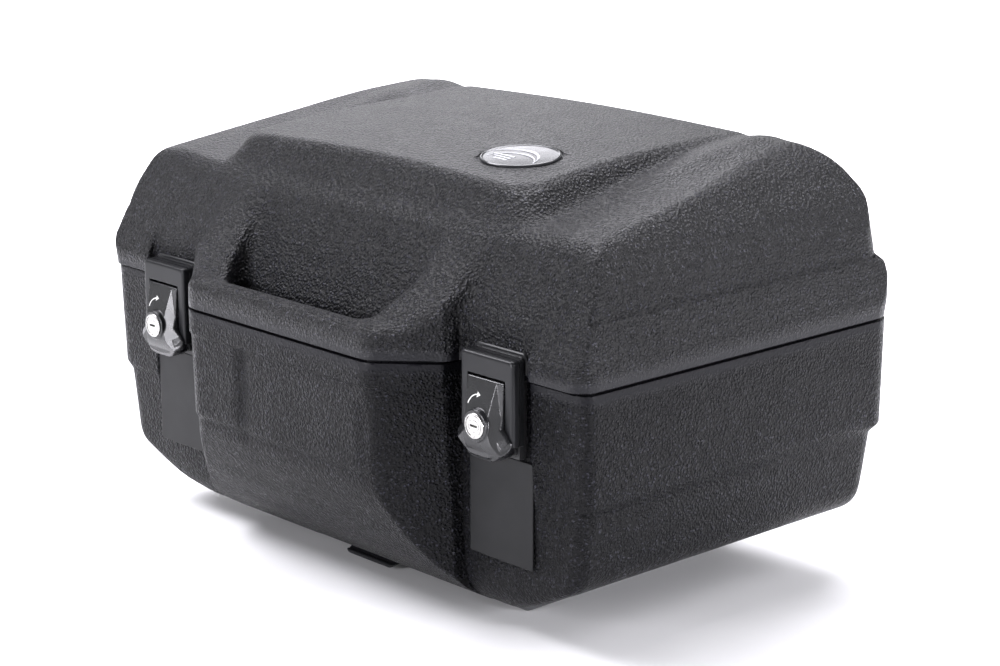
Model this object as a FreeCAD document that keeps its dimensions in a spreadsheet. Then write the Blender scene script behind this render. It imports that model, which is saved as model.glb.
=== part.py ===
import FreeCAD, Part
import math
import os

from FreeCAD import Vector, Placement, Rotation

# Hard motorcycle top case with a hinged lid.
# +X right seen from the front, -Y front, +Z up. Origin: centre of the outer box on the
# plane that the skids rest on. All sizes in millimetres.

doc = FreeCAD.newDocument("top_case")

# ---------------------------------------------------------------- driving dimensions
sheet = doc.addObject("Spreadsheet::Sheet", "dims")
ROWS = [
    ("seam_z", 212.0, "height of the seam between base and lid"),
    ("seam_gap", 1.2, "half of the gap between base rim and lid rim"),
    ("half_width", 291.5, "half width of the case at the seam"),
    ("belt_bulge", 3.0, "how far the lid belt bulges out"),
    ("front_y", -158.5, "front face of the corner posts at the seam"),
    ("rear_y", 196.5, "rear wall at the seam"),
    ("bay_y", -208.5, "front face of the centre bay"),
    ("bay_flat", 112.0, "half width of the flat front of the bay"),
    ("bay_half", 155.0, "half width of the bay where it meets the latch channels"),
    ("bay_end_y", -163.5, "y where the bay meets the latch channels"),
    ("chan_out", 236.0, "outer side of the latch channels"),
    ("chan_y", -149.5, "floor of the latch channels in the base"),
    ("lid_chan_y", -152.0, "floor of the latch channels in the lid"),
    ("wall", 3.5, "wall thickness of both shells"),
    ("corner_front", 22.0, "front corner radius"),
    ("corner_rear", 38.0, "rear corner radius"),
    ("belt_base", 88.0, "depth of the base belt below the seam"),
    ("belt_lid", 46.0, "height of the lid belt above the seam"),
    ("step_in", 6.0, "step from the belts to the walls"),
    ("floor_z", 10.0, "underside of the platform"),
    ("latch_x", 202.2, "latch centre line"),
    ("latch_pivot_y", -161.5, "lever pivot, y"),
    ("latch_pivot_z", 205.5, "lever pivot, z"),
    ("hasp_drop", 16.0, "distance from lever pivot to hasp pivot"),
    ("hasp_width", 57.0, "width of the hasp frame"),
    ("hasp_top", 227.6, "top of the hasp frame"),
    ("window_width", 40.4, "width of the hasp window"),
    ("lever_width", 39.2, "width of the lever in the window"),
    ("flare_width", 57.0, "width of the lever's lower end"),
    ("pin_rad", 2.0, "lever pin radius"),
    ("stub_rad", 1.8, "hasp pin radius"),
    ("running", 0.06, "radial running clearance of pins"),
    ("lock_z", 176.0, "lock cylinder axis height"),
    ("lock_rad", 10.0, "lock cylinder radius"),
    ("lock_face_y", -180.9, "lock cylinder face"),
    ("hinge_x", 150.0, "hinge centre line"),
    ("hinge_y", 203.5, "hinge axis, y"),
    ("hinge_z", 216.0, "hinge axis, z"),
    ("hinge_pin_rad", 2.5, "hinge pin radius"),
    ("knuckle_rad", 5.0, "hinge knuckle radius"),
    ("leaf_width", 60.0, "hinge width"),
    ("badge_x", 101.5, "badge centre, x"),
    ("badge_y", -38.0, "badge centre, y"),
    ("badge_rad", 32.0, "badge radius"),
    ("skid_x", 158.0, "skid centre line"),
    ("skid_width", 26.0, "skid width"),
    ("skid_front", -103.0, "front end of the skids"),
    ("skid_rear", 122.0, "rear end of the skids"),
    ("bolt_sx", 150.0, "docking bolt spacing across"),
    ("bolt_sy", 100.0, "docking bolt spacing along"),
    ("bolt_rad", 3.3, "docking bolt hole radius"),
    ("bolt_cy", 50.0, "docking bolt pattern centre, y"),
    ("rel_half", 30.0, "half width of the release lever"),
    ("rel_y", -92.0, "release pivot, y"),
    ("rel_z", 28.0, "release pivot, z"),
    ("rel_pin_rad", 2.5, "release pin radius"),
    ("drive_arm", 14.0, "release lever arm that drives the bolt"),
]
for i, (alias, value, note) in enumerate(ROWS, start=1):
    sheet.set("A%d" % i, str(value))
    sheet.setAlias("A%d" % i, alias)
    sheet.set("B%d" % i, note)
doc.recompute()
D = {alias: float(value) for alias, value, note in ROWS}
SEAM = D["seam_z"]
CAD_Y = 33.5


def q(expression):
    """A sheet expression with the sheet's name put before every alias."""
    out, word = "", ""
    for ch in expression + " ":
        if ch.isalnum() or ch == "_":
            word += ch
        else:
            out += ("dims." + word) if word in D else word
            out += ch
            word = ""
    return out.strip()


def bind(obj, prop, expression):
    if isinstance(expression, str):
        obj.setExpression(prop, q(expression))
    else:
        obj.setExpression(prop, str(float(expression)))


def place(obj, x="0", y="0", z="0"):
    bind(obj, "Placement.Base.x", x)
    bind(obj, "Placement.Base.y", y)
    bind(obj, "Placement.Base.z", z)
    return obj


def box(name, x0, x1, y0, y1, z0, z1):
    """A box between two corners, each a number or a sheet expression."""
    b = doc.addObject("Part::Box", name)
    for prop, lo, hi in (("Length", x0, x1), ("Width", y0, y1), ("Height", z0, z1)):
        bind(b, prop, "(%s) - (%s)" % (hi, lo))
    return place(b, str(x0), str(y0), str(z0))


def cyl(name, radius, length, x, y, z, axis="z"):
    """A cylinder that starts at x, y, z and runs along +axis."""
    c = doc.addObject("Part::Cylinder", name)
    bind(c, "Radius", str(radius))
    bind(c, "Height", str(length))
    if axis == "x":
        c.Placement = Placement(Vector(), Rotation(Vector(0, 1, 0), 90))
    elif axis == "y":
        c.Placement = Placement(Vector(), Rotation(Vector(1, 0, 0), -90))
    return place(c, str(x), str(y), str(z))


def fuse(name, *parts):
    f = doc.addObject("Part::MultiFuse", name)
    f.Shapes = list(parts)
    f.Refine = False
    return f


def cut(name, base, tool):
    c = doc.addObject("Part::Cut", name)
    c.Base = base
    c.Tool = tool
    c.Refine = False
    return c


def common(name, *parts):
    """The space that all the parts share, taken pair by pair."""
    result = parts[0]
    for i, other in enumerate(parts[1:], start=1):
        c = doc.addObject("Part::Common", name if i == len(parts) - 1 else "%s_%d" % (name, i))
        c.Base = result
        c.Tool = other
        c.Refine = False
        result = c
    return result


def prism_x(name, points_yz, x0, x1):
    """A closed outline in the YZ plane, extruded along X from x0 to x1."""
    p = doc.addObject("Part::Polygon", name + "_outline")
    p.Nodes = [Vector(0, y, z) for y, z in points_yz]
    p.Close = True
    e = doc.addObject("Part::Extrusion", name)
    e.Base = p
    e.DirMode = "Custom"
    e.Dir = Vector(1, 0, 0)
    e.Solid = True
    bind(e, "LengthFwd", "(%s)" % x1)
    bind(e, "LengthRev", "-(%s)" % x0)
    return e


def prism_y(name, points_xz, y0, y1):
    """A closed outline in the XZ plane, extruded along Y from y0 to y1."""
    p = doc.addObject("Part::Polygon", name + "_outline")
    p.Nodes = [Vector(x, 0, z) for x, z in points_xz]
    p.Close = True
    e = doc.addObject("Part::Extrusion", name)
    e.Base = p
    e.DirMode = "Custom"
    e.Dir = Vector(0, 1, 0)
    e.Solid = True
    bind(e, "LengthFwd", "(%s)" % y1)
    bind(e, "LengthRev", "-(%s)" % y0)
    return e


def feature(name, shape):
    f = doc.addObject("Part::Feature", name)
    f.Shape = shape
    return f


FINAL = {}


def node(obj, label):
    obj.Label = label
    FINAL[label] = obj
    return obj


# ---------------------------------------------------------------- outline helpers
def rounded(points, radii, z):
    """Closed wire through points, with each corner rounded by its radius."""
    n = len(points)
    edges, first, last = [], None, None
    for i in range(n):
        a = Vector(*points[i - 1], z)
        b = Vector(*points[i], z)
        c = Vector(*points[(i + 1) % n], z)
        u, v = (a - b).normalize(), (c - b).normalize()
        ang = u.getAngle(v)
        t = radii[i] / math.tan(ang / 2)
        p1, p2 = b + u * t, b + v * t
        bis = (u + v).normalize()
        mid = b + bis * (radii[i] / math.sin(ang / 2) - radii[i])
        if last is not None:
            edges.append(Part.LineSegment(last, p1).toShape())
        else:
            first = p1
        edges.append(Part.Arc(p1, mid, p2).toShape())
        last = p2
    edges.append(Part.LineSegment(last, first).toShape())
    return Part.Wire(edges)


def mirrored(right):
    """Outline points listed front to rear on the +X side, completed on the -X side."""
    return [p for p in right] + [(-x, y) for x, y in reversed(right)]


def rim_outline(z):
    """Outline of the case at the seam, with the bay and the latch channels."""
    right = [
        (D["bay_flat"], D["bay_y"]),
        (D["bay_half"], D["bay_end_y"]),
        (D["bay_half"], D["chan_y"]),
        (D["chan_out"], D["chan_y"]),
        (D["chan_out"], D["front_y"]),
        (D["half_width"], D["front_y"]),
        (D["half_width"], D["rear_y"]),
    ]
    r = [22, 3, 1, 1, 1.5, D["corner_front"], D["corner_rear"]]
    return rounded(mirrored(right), r + r[::-1], z)


def ring(outer_inset, inner_inset, z0, z1):
    """Closed ring that follows the rim outline between two insets."""
    face = Part.Face(rim_outline(z0))
    out = face.makeOffset2D(-outer_inset) if outer_inset else face
    inn = face.makeOffset2D(-inner_inset)
    a = Part.Face(out.OuterWire) if outer_inset else face
    b = Part.Face(inn.OuterWire)
    return a.extrude(Vector(0, 0, z1 - z0)).cut(b.extrude(Vector(0, 0, z1 - z0)))


def tower(levels, inset=0.0):
    """Solid through rounded rectangles: (z, half width, front y, rear y, front r, rear r)."""
    wires = []
    for z, hw, yf, yr, rf, rr in levels:
        hw, yf, yr = hw - inset, yf + inset, yr - inset
        rf, rr = max(rf - inset, 2), max(rr - inset, 2)
        wires.append(
            rounded([(hw, yf), (hw, yr), (-hw, yr), (-hw, yf)], [rf, rr, rr, rf], z)
        )
    return Part.makeLoft(wires, True, True, False)


HW, YF, YR = D["half_width"], D["front_y"], D["rear_y"]
CF, CR, W = D["corner_front"], D["corner_rear"], D["wall"]
STEP, GAP = D["step_in"], D["seam_gap"]
ZB = SEAM - D["belt_base"]

# ---------------------------------------------------------------- base shell
BASE_LEVELS = [
    (D["floor_z"], 178, -111.5, 141.5, 12, 20),
    (19.0, 195, -129.5, 151.5, 15, 25),
    (32.0, 222, -144.5, 161.5, 18, 30),
    (46.0, 254, -149.5, 173.5, 20, 32),
    (55.0, 273, -151.0, 181.0, 20, 34),
    (67.0, HW - 10.5, YF + 7.0, YR - 11.0, 20, 34),
    (ZB - 6, HW - STEP, YF + 5.0, YR - STEP, 20, 34),
    (ZB, HW - 0.5, YF + 1.0, YR - 0.5, CF, CR),
    (SEAM - GAP, HW, YF, YR, CF, CR),
]
base_body = feature("base_body", tower(BASE_LEVELS))
INNER_LEVELS = [
    (z + W if i == 0 else z, hw, yf, yr, rf, rr)
    for i, (z, hw, yf, yr, rf, rr) in enumerate(BASE_LEVELS)
]
INNER_LEVELS[0] = (D["floor_z"] + W, 176, -109.5, 139.5, 12, 20)
INNER_LEVELS[1] = (21.5, 193, -127.0, 149.0, 15, 25)
INNER_LEVELS[2] = (34.5, 220, -143.0, 159.5, 18, 30)
INNER_LEVELS[3] = (48.5, 251, -149.0, 171.5, 20, 32)
INNER_LEVELS[-1] = (SEAM + 5, HW, YF, YR, CF, CR)
base_hollow = feature("base_hollow", tower(INNER_LEVELS, W))


def bay_plan(name, inset, z0, z1):
    """Plan prism of the centre bay."""
    pts = [
        (D["bay_flat"], D["bay_y"] + inset),
        (D["bay_half"] - inset, D["bay_end_y"] + inset * 0.4),
        (D["bay_half"] - inset, -120.0),
    ]
    r = [22 - inset, 2, 1]
    wire = rounded(mirrored(pts), r + r[::-1], z0)
    return feature(name, Part.Face(wire).extrude(Vector(0, 0, z1 - z0)))


BY = D["bay_y"]
bay_side = prism_x(
    "bay_side",
    [(-100, SEAM - GAP), (BY, SEAM - GAP), (BY + 1, ZB), (BY + 5, ZB - 6), (-194, 93), (-180.5, 68),
     (-164, 45), (-142.5, 26), (-119, 12.5), (-111.5, 10), (-100, 10)],
    -160, 160)
base_bay = common("base_bay", bay_plan("bay_plan_out", 0, 0, 230), bay_side)
bay_side_in = prism_x(
    "bay_side_in",
    [(-100, SEAM + 5), (BY + W, SEAM + 5), (BY + W + 1, ZB), (BY + W + 5, ZB - 7), (-190.8, 94.5), (-177.6, 70),
     (-161.6, 47.8), (-140.6, 29.3), (-118, 16), (-110, 14), (-100, 14)],
    -160, 160)
base_bay_in = common("base_bay_in", bay_plan("bay_plan_in", W, 0, 240), bay_side_in)

channels = fuse(
    "channels",
    box("channel_r", "bay_half", "chan_out", -230, "chan_y", 62, 240),
    box("channel_l", "0 - chan_out", "0 - bay_half", -230, "chan_y", 62, 240))
chan_walls = fuse(
    "chan_walls",
    box("chan_wall_r", "bay_half - wall", "chan_out + wall", -230, "chan_y + wall", 58.5, 260),
    box("chan_wall_l", "0 - chan_out - wall", "wall - bay_half", -230, "chan_y + wall", 58.5, 260))

rim = feature("rim_flange", ring(0.6, 7.5, SEAM - 9.0, SEAM - GAP))
upstand = feature("rim_upstand", ring(5.0, 7.5, SEAM - 9.0, SEAM + 6.0))

base_outer = cut("base_outer", fuse("base_sum", base_body, base_bay), channels)
cavity = cut("base_cavity", fuse("cavity_sum", base_hollow, base_bay_in), chan_walls)
base_tub = cut("base_tub", base_outer, cavity)

# arched cut-out at the front edge, release opening, bolt holes and bolt slot
arch = prism_y(
    "arch", [(-55, 0), (-55, 15), (-49, 20), (-40, 21.5), (40, 21.5), (49, 20), (55, 15), (55, 0)],
    -170, -104)
release_hole = box("release_hole", -36, 36, -106, -78, 0, 16)
bolt_hole = box("bolt_hole", -15, 15, -44, -20, 0, 16)
dock_holes = []
for i, (sx, sy) in enumerate(((-1, -1), (1, -1), (1, 1), (-1, 1))):
    dock_holes.append(cyl("dock_hole_%d" % i, "bolt_rad", 30, "%d * bolt_sx / 2" % sx,
                          "bolt_cy + %d * bolt_sy / 2" % sy, 0))
openings = fuse("base_openings", arch, release_hole, bolt_hole, *dock_holes)
base_shell = node(cut("base_shell_cut", fuse("base_walls", base_tub, rim, upstand), openings), "base_shell")

# rim seal on top of the upstand
rim_seal = node(feature("seal_ring", ring(4.6, 7.9, SEAM + 6.0, SEAM + 9.0)), "rim_seal")

# ---------------------------------------------------------------- lid shell
ZL = SEAM + D["belt_lid"]
BB = D["belt_bulge"]
LID_LEVELS = [
    (SEAM + GAP, HW, YF, YR, CF, CR),
    (SEAM + 20, HW + BB, YF - 1.5, YR + 0.5, CF, CR),
    (SEAM + 32, HW + BB - 0.5, YF - 1.0, YR + 0.5, CF, CR),
    (ZL, HW, YF, YR, CF, CR),
    (ZL + 5, HW - STEP, YF + STEP, YR - STEP, 20, 34),
    (SEAM + 95, HW - 11, YF + STEP, YR - 12, 20, 34),
    (SEAM + 150, HW - 28, YF + STEP, YR - 28, 20, 30),
]


def lid_front_view(drop):
    """Side domes seen from the front."""
    z, d = SEAM, drop
    right = [(300 - d, z - 10), (300 - d, z + 30), (286 - d, z + 52), (283 - d, z + 72 - d * 0.3), (270 - d, z + 98 - d * 0.6),
             (248 - d, z + 126 - d), (215 - d, z + 146 - d)]
    return right + [(-x, y) for x, y in reversed(right)]


def shoulder_view(d):
    """Shoulders and front slope seen from the side."""
    z = SEAM
    return [(YF - 4 + d, z - 10), (YF - 4 + d, z + 18), (-124 + d, z + 98 - d), (-86, z + 104 - d),
            (18, z + 119 - d), (84, z + 130 - d), (134, z + 132 - d), (168 - d * 0.6, z + 118 - d), (184 - d, z + 92 - d * 0.5),
            (YR - 5 - d, z + 54), (YR + 3 - d, z + 44), (YR + 3 - d, z - 10)]


def roof_view(d):
    """Raised roof seen from the side; its front part is one plane that carries the badge."""
    z = SEAM
    return [(YF - 4 + d, z - 10), (YF - 4 + d, z + 18), (-102 + d * 0.7, z + 127 - d), (38, z + 138 - d),
            (90, z + 141 - d), (148, z + 141.5 - d), (172 - d * 0.6, z + 122 - d), (184 - d, z + 92 - d * 0.5),
            (YR - 5 - d, z + 54), (YR + 3 - d, z + 44), (YR + 3 - d, z - 10)]


def lid_solid(tag, d):
    walls = feature("lid_walls" + tag, tower(LID_LEVELS if d == 0 else [(SEAM - 5,) + LID_LEVELS[0][1:]] + LID_LEVELS, d))
    dome = prism_y("lid_dome" + tag, lid_front_view(d), -240, 240)
    shoulders = prism_x("lid_shoulders" + tag, shoulder_view(d), -300, 300)
    flank = [(192 - d, SEAM - 20), (192 - d, SEAM + 98), (170 - d, SEAM + 130), (166 - d, SEAM + 160)]
    roof_band = prism_y("roof_band" + tag, flank + [(-x, y) for x, y in reversed(flank)], -240, 240)
    roof = common("lid_roof" + tag, prism_x("lid_roof_side" + tag, roof_view(d), -300, 300), roof_band)
    return common("lid_form" + tag, walls, dome, fuse("lid_top" + tag, shoulders, roof))


def handle_view(d):
    z = SEAM
    low = GAP if d == 0 else -5
    return [(-100, z + low), (BY + d, z + low), (BY + d, z + 18 - d * 0.4), (BY + 6 + d * 0.5, z + 25 - d), (BY + 20, z + 26 - d),
            (-149, z + 72 - d), (-100, z + 72 - d)]


scoop = prism_x("scoop_side", [(-188, SEAM + 60), (-188, SEAM + 9), (-184, SEAM + 5), (-168, SEAM + 5), (-164, SEAM + 9),
                                (-148.5, SEAM + 60)], -300, 300)
scoop_plan = feature("scoop_plan", Part.Face(rounded(
    [(94, -189), (84, -120), (-84, -120), (-94, -189)], [13, 4, 4, 13], SEAM)).extrude(Vector(0, 0, 90)))
scoop_cut = common("scoop_cut", scoop, scoop_plan)
scoop_in = prism_x("scoop_side_in", [(-191.5, SEAM + 70), (-191.5, SEAM - 20), (-120, SEAM - 20), (-120, SEAM + 70)], -98, 98)

handle_out = common("handle_out", bay_plan("bay_plan_lid", 0, 200, 330), prism_x("handle_side", handle_view(0), -160, 160))
handle_in = cut("handle_in",
                common("handle_in_c", bay_plan("bay_plan_lid_in", W, 200, 330), prism_x("handle_side_in", handle_view(W), -160, 160)),
                scoop_in)

lid_channels = fuse(
    "lid_channels",
    box("lid_channel_r", "bay_half", "chan_out", -230, "lid_chan_y", 205, 262),
    box("lid_channel_l", "0 - chan_out", "0 - bay_half", -230, "lid_chan_y", 205, 262))
lid_chan_walls = fuse(
    "lid_chan_walls",
    box("lid_chan_wall_r", "bay_half - wall", "chan_out + wall", -230, "lid_chan_y + wall", 195, 250),
    box("lid_chan_wall_l", "0 - chan_out - wall", "wall - bay_half", -230, "lid_chan_y + wall", 195, 250))
# the scoop's own back wall keeps the lid closed behind the handle
scoop_wall = box("scoop_wall", -98, 98, -230, -158, 195, "seam_z + 30")
lid_outer = cut("lid_outer", fuse("lid_sum", lid_solid("", 0.0), handle_out), lid_channels)
lid_main_in = cut("lid_main_in", lid_solid("_in", W), scoop_wall)
lid_cavity = cut("lid_cavity", fuse("lid_cavity_sum", lid_main_in, handle_in), lid_chan_walls)
roof_slope = math.degrees(math.atan2(11.0, 140.0))
badge_z = SEAM + 127 + 11.0 * (D["badge_y"] + 102) / 140.0
recess = cyl("badge_recess", "badge_rad + 2.5", 10, 0, 0, 0)
recess.Placement = Placement(
    Vector(D["badge_x"], D["badge_y"], badge_z) + Rotation(Vector(1, 0, 0), roof_slope).multVec(Vector(0, 0, -1.4)),
    Rotation(Vector(1, 0, 0), roof_slope))
lid_cut = fuse("lid_openings", lid_cavity, scoop_cut, recess)
for o in (recess,):
    for prop in ("x", "y", "z"):
        o.setExpression("Placement.Base." + prop, None)
lid_shell = node(cut("lid_shell_cut", lid_outer, lid_cut), "lid_shell")


# ---------------------------------------------------------------- part design helpers
def plane(body, role):
    for f in body.Origin.OriginFeatures:
        if getattr(f, "Role", "") == role:
            return f


def sketch_on(body, role, name, offset=0.0):
    s = body.newObject("Sketcher::SketchObject", name)
    s.AttachmentSupport = [(plane(body, role), "")]
    s.MapMode = "FlatFace"
    if offset:
        s.AttachmentOffset = Placement(Vector(0, 0, offset), Rotation())
    return s


def sketch_poly(s, pts):
    n = len(pts)
    for i in range(n):
        a, b = pts[i], pts[(i + 1) % n]
        s.addGeometry(Part.LineSegment(Vector(a[0], a[1], 0), Vector(b[0], b[1], 0)), False)


def pad(body, sketch, name, length, reverse=False):
    p = body.newObject("PartDesign::Pad", name)
    p.Profile = sketch
    bind(p, "Length", str(length))
    p.Reversed = reverse
    return p


# badge: low dome turned about its own axis
badge_body = doc.addObject("PartDesign::Body", "badge_body")
bs = sketch_on(badge_body, "XZ_Plane", "badge_profile")
R = D["badge_rad"]
sketch_poly(bs, [(0, 0), (R, 0), (R, 1.2), (R - 1.2, 2.4), (R - 4, 2.9), (R - 5, 2.5), (R - 16, 3.2), (0, 3.6)])
brev = badge_body.newObject("PartDesign::Revolution", "badge_turn")
brev.Profile = bs
brev.ReferenceAxis = (bs, ["V_Axis"])
brev.Angle = 360
badge_body.Placement = Placement(
    Vector(D["badge_x"], D["badge_y"], badge_z) + Rotation(Vector(1, 0, 0), roof_slope).multVec(Vector(0, 0, -1.4)),
    Rotation(Vector(1, 0, 0), roof_slope))
node(badge_body, "badge")


# ---------------------------------------------------------------- screws
def screws(label, spots, axis, head_r, head_h, shank_r, shank_l):
    """Group of separate screws. spots are the points under the heads; heads point along axis."""
    made = []
    for i, (x, y, z) in enumerate(spots):
        head = doc.addObject("Part::Cylinder", "%s_head_%d" % (label, i))
        head.Radius, head.Height = head_r, head_h
        shank = doc.addObject("Part::Cylinder", "%s_shank_%d" % (label, i))
        shank.Radius, shank.Height = shank_r, shank_l + 0.5
        shank.Placement = Placement(Vector(0, 0, -shank_l), Rotation())
        drive = doc.addObject("Part::Prism", "%s_drive_%d" % (label, i))
        drive.Polygon, drive.Circumradius, drive.Height = 6, head_r * 0.5, head_h
        drive.Placement = Placement(Vector(0, 0, head_h * 0.45), Rotation())
        one = cut("%s_screw_%d" % (label, i), fuse("%s_blank_%d" % (label, i), head, shank), drive)
        one.Placement = Placement(Vector(x, y, z), Rotation(Vector(0, 0, 1), Vector(*axis)))
        made.append(one)
    group = doc.addObject("Part::Compound", label + "_group")
    group.Links = made
    return node(group, label)


# ---------------------------------------------------------------- latches
FZ = SEAM


def latch(side, sign):
    """One draw latch: bracket and lever pin on the base, lever, hasp, lock, and the catch on the lid."""
    n = side + "_"
    cx = "%d * latch_x" % sign
    X = sign * D["latch_x"]

    def bx(name, x0, x1, y0, y1, z0, z1):
        return box(n + name, "%s + (%s)" % (cx, x0), "%s + (%s)" % (cx, x1), y0, y1, z0, z1)

    # bracket: plinth on the channel floor, two ears for the lever pin, keeper for the cam
    plinth = bx("br_plinth", -24, 24, -156.5, -149.5, 150, 210)
    ear_a = bx("br_ear_a", -15, -12, -165.4, -156.5, 197.5, 208.8)
    ear_b = bx("br_ear_b", 12, 15, -165.4, -156.5, 197.5, 208.8)
    keeper = bx("br_keeper", -8, 8, -163.5, -156.5, 159, 161.5)
    keeper_lip = bx("br_keeper_lip", -8, 8, -164.5, -162.5, 157.5, 161.5)
    hole = cyl(n + "br_hole", "pin_rad", 40, cx + " - 20", "latch_pivot_y", "latch_pivot_z", "x")
    node(cut(n + "br", fuse(n + "br_sum", plinth, ear_a, ear_b, keeper, keeper_lip), hole), n + "latch_bracket")

    # lever pin, pressed into the ears
    node(cyl(n + "pin", "pin_rad", 38, cx + " - 19", "latch_pivot_y", "latch_pivot_z", "x"), n + "lever_pin")

    # lever: body in the window, flared lower end, lock boss, hollow back
    side_pts = [(-159.5, 209.2), (-168.5, 209.6), (-169.6, 208.8), (-171.2, 200), (-175.5, 184), (-176.5, 164), (-174, 152), (-169, 148),
                (-163, 148), (-160, 152), (-159.5, 165)]
    web = prism_x(n + "lever_side", side_pts, "%s - lever_width / 2" % cx, "%s + lever_width / 2" % cx)
    web.setExpression("LengthFwd", q("%s + lever_width / 2" % cx))
    web.setExpression("LengthRev", q("lever_width / 2 - (%s)" % cx))
    fw = D["flare_width"] / 2
    lw = D["lever_width"] / 2
    flare = prism_y(n + "lever_flare",
                    [(X - lw, 175), (X - fw, 166), (X - fw, 158), (X - fw + 6, 150.5), (X - 14, 148), (X + 14, 148),
                     (X + fw - 6, 150.5), (X + fw, 158), (X + fw, 166), (X + lw, 175)], -174.5, -168.5)
    boss = cyl(n + "lever_boss", "lock_rad + 2.5", 9.5, cx, -178.9, "lock_z", "y")
    pocket = bx("lever_pocket", -16.5, 16.5, -167.3, -140, 156, 212)
    bore = cyl(n + "lever_bore", "lock_rad + 0.05", 30, cx, -185, "lock_z", "y")
    pin_hole = cyl(n + "lever_hole", "pin_rad + running", 60, cx + " - 30", "latch_pivot_y", "latch_pivot_z", "x")
    stub_hole = cyl(n + "lever_stub_hole", "stub_rad", 60, cx + " - 30", "latch_pivot_y", "latch_pivot_z - hasp_drop", "x")
    node(cut(n + "lever_cut", fuse(n + "lever_sum", web, flare, boss),
             fuse(n + "lever_tools", pocket, bore, pin_hole, stub_hole)), n + "lever")

    # hasp pins, pressed into the lever's sides
    stub_a = cyl(n + "stub_a", "stub_rad", 10, cx + " + 16.6", "latch_pivot_y", "latch_pivot_z - hasp_drop", "x")
    stub_b = cyl(n + "stub_b", "stub_rad", 10, cx + " - 26.6", "latch_pivot_y", "latch_pivot_z - hasp_drop", "x")
    stubs = doc.addObject("Part::Compound", n + "stubs")
    stubs.Links = [stub_a, stub_b]
    node(stubs, n + "hasp_pins")

    # hasp: frame with a window open at the bottom, hollow behind
    outer = doc.addObject("Part::Chamfer", n + "hasp_soft")
    blank = bx("hasp_blank", "0 - hasp_width / 2", "hasp_width / 2", -167.9, -156.1, 162, "hasp_top")
    doc.recompute()
    outer.Base = blank
    edges = []
    for i, e in enumerate(blank.Shape.Edges, start=1):
        c = e.CenterOfMass
        if abs(c.y + 167.9) < 0.01 and c.z > 163 or (abs(c.z - D["hasp_top"]) < 0.01 and abs(abs(c.x - X) - D["hasp_width"] / 2) < 0.01):
            edges.append((i, 1.5, 1.5))
    outer.Edges = edges
    window = bx("hasp_window", "0 - window_width / 2", "window_width / 2", -190, -140, 150, 211.4)
    hollow = bx("hasp_hollow", -24.5, 24.5, -164.9, -140, 150, "hasp_top - 3")
    hasp_hole = cyl(n + "hasp_hole", "stub_rad + running", 80, cx + " - 40", "latch_pivot_y", "latch_pivot_z - hasp_drop", "x")
    node(cut(n + "hasp_cut", outer, fuse(n + "hasp_tools", window, hollow, hasp_hole)), n + "hasp")

    # lock cylinder with its key slot
    lock = doc.addObject("PartDesign::Body", n + "lock_body")
    ls = sketch_on(lock, "XZ_Plane", n + "lock_profile")
    r, face = D["lock_rad"], D["lock_face_y"]
    length = -163.0 - face
    sketch_poly(ls, [(0, 0), (r - 1.2, 0), (r, -1.2), (r, -length + 1.0), (4, -length + 1.0), (4, -length - 2), (0, -length - 2)])
    turn = lock.newObject("PartDesign::Revolution", n + "lock_turn")
    turn.Profile = ls
    turn.ReferenceAxis = (ls, ["V_Axis"])
    turn.Angle = 360
    ks = sketch_on(lock, "XY_Plane", n + "key_slot")
    sketch_poly(ks, [(-4.6, -1.0), (4.6, -1.0), (4.6, 1.0), (-4.6, 1.0)])
    slot = lock.newObject("PartDesign::Pocket", n + "key_pocket")
    slot.Profile = ks
    slot.Length = 4.0
    slot.Reversed = False
    lock.Placement = Placement(Vector(X, face, D["lock_z"]), Rotation(Vector(1, 0, 0), 90))
    node(lock, n + "lock_cylinder")

    # cam on the cylinder's tail; the tongue points down when locked
    hub = cyl(n + "cam_hub", 6.5, 1.8, cx, -162.0, "lock_z", "y")
    tongue = bx("cam_tongue", -3.5, 3.5, -162.0, -160.2, "lock_z - 13", "lock_z")
    cam_hole = cyl(n + "cam_hole", 4.0, 10, cx, -166, "lock_z", "y")
    node(cut(n + "cam", fuse(n + "cam_sum", hub, tongue), cam_hole), n + "lock_cam")

    # catch on the lid, with a nose at the height of the hasp's hollow
    plate = bx("catch_plate", -25.5, 25.5, -154.8, -152.0, 214.5, 230.6)
    nose = bx("catch_nose", -12, 12, -155.6, -154.8, 216, 222)
    node(fuse(n + "catch_sum", plate, nose), n + "catch")

    # smooth plate in the channel below the latch
    ch = doc.addObject("PartDesign::Body", n + "chan_body")
    cs = sketch_on(ch, "XZ_Plane", n + "chan_outline")
    sketch_poly(cs, [(-36.4, 64.0), (33.0, 64.0), (33.0, 147.5), (-36.4, 147.5)] if sign > 0
                else [(-33.0, 64.0), (36.4, 64.0), (36.4, 147.5), (-33.0, 147.5)])
    pad(ch, cs, n + "chan_pad", 2.0)
    ch.Placement = Placement(Vector(X, D["chan_y"], 0), Rotation())
    node(ch, n + "channel_plate")


latch("right", 1)
latch("left", -1)

bracket_spots, catch_spots = [], []
for s in (-1, 1):
    for dx in (-19, 19):
        for z in (156.0, 190.0):
            bracket_spots.append((s * D["latch_x"] + dx, -156.5, z))
    for dx in (-20, 20):
        catch_spots.append((s * D["latch_x"] + dx, -154.8, 226.0))
screws("latch_bracket_screws", bracket_spots, (0, -1, 0), 3.2, 1.6, 1.8, 6.6)
screws("catch_screws", catch_spots, (0, -1, 0), 2.4, 0.9, 1.5, 5.0)


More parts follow.
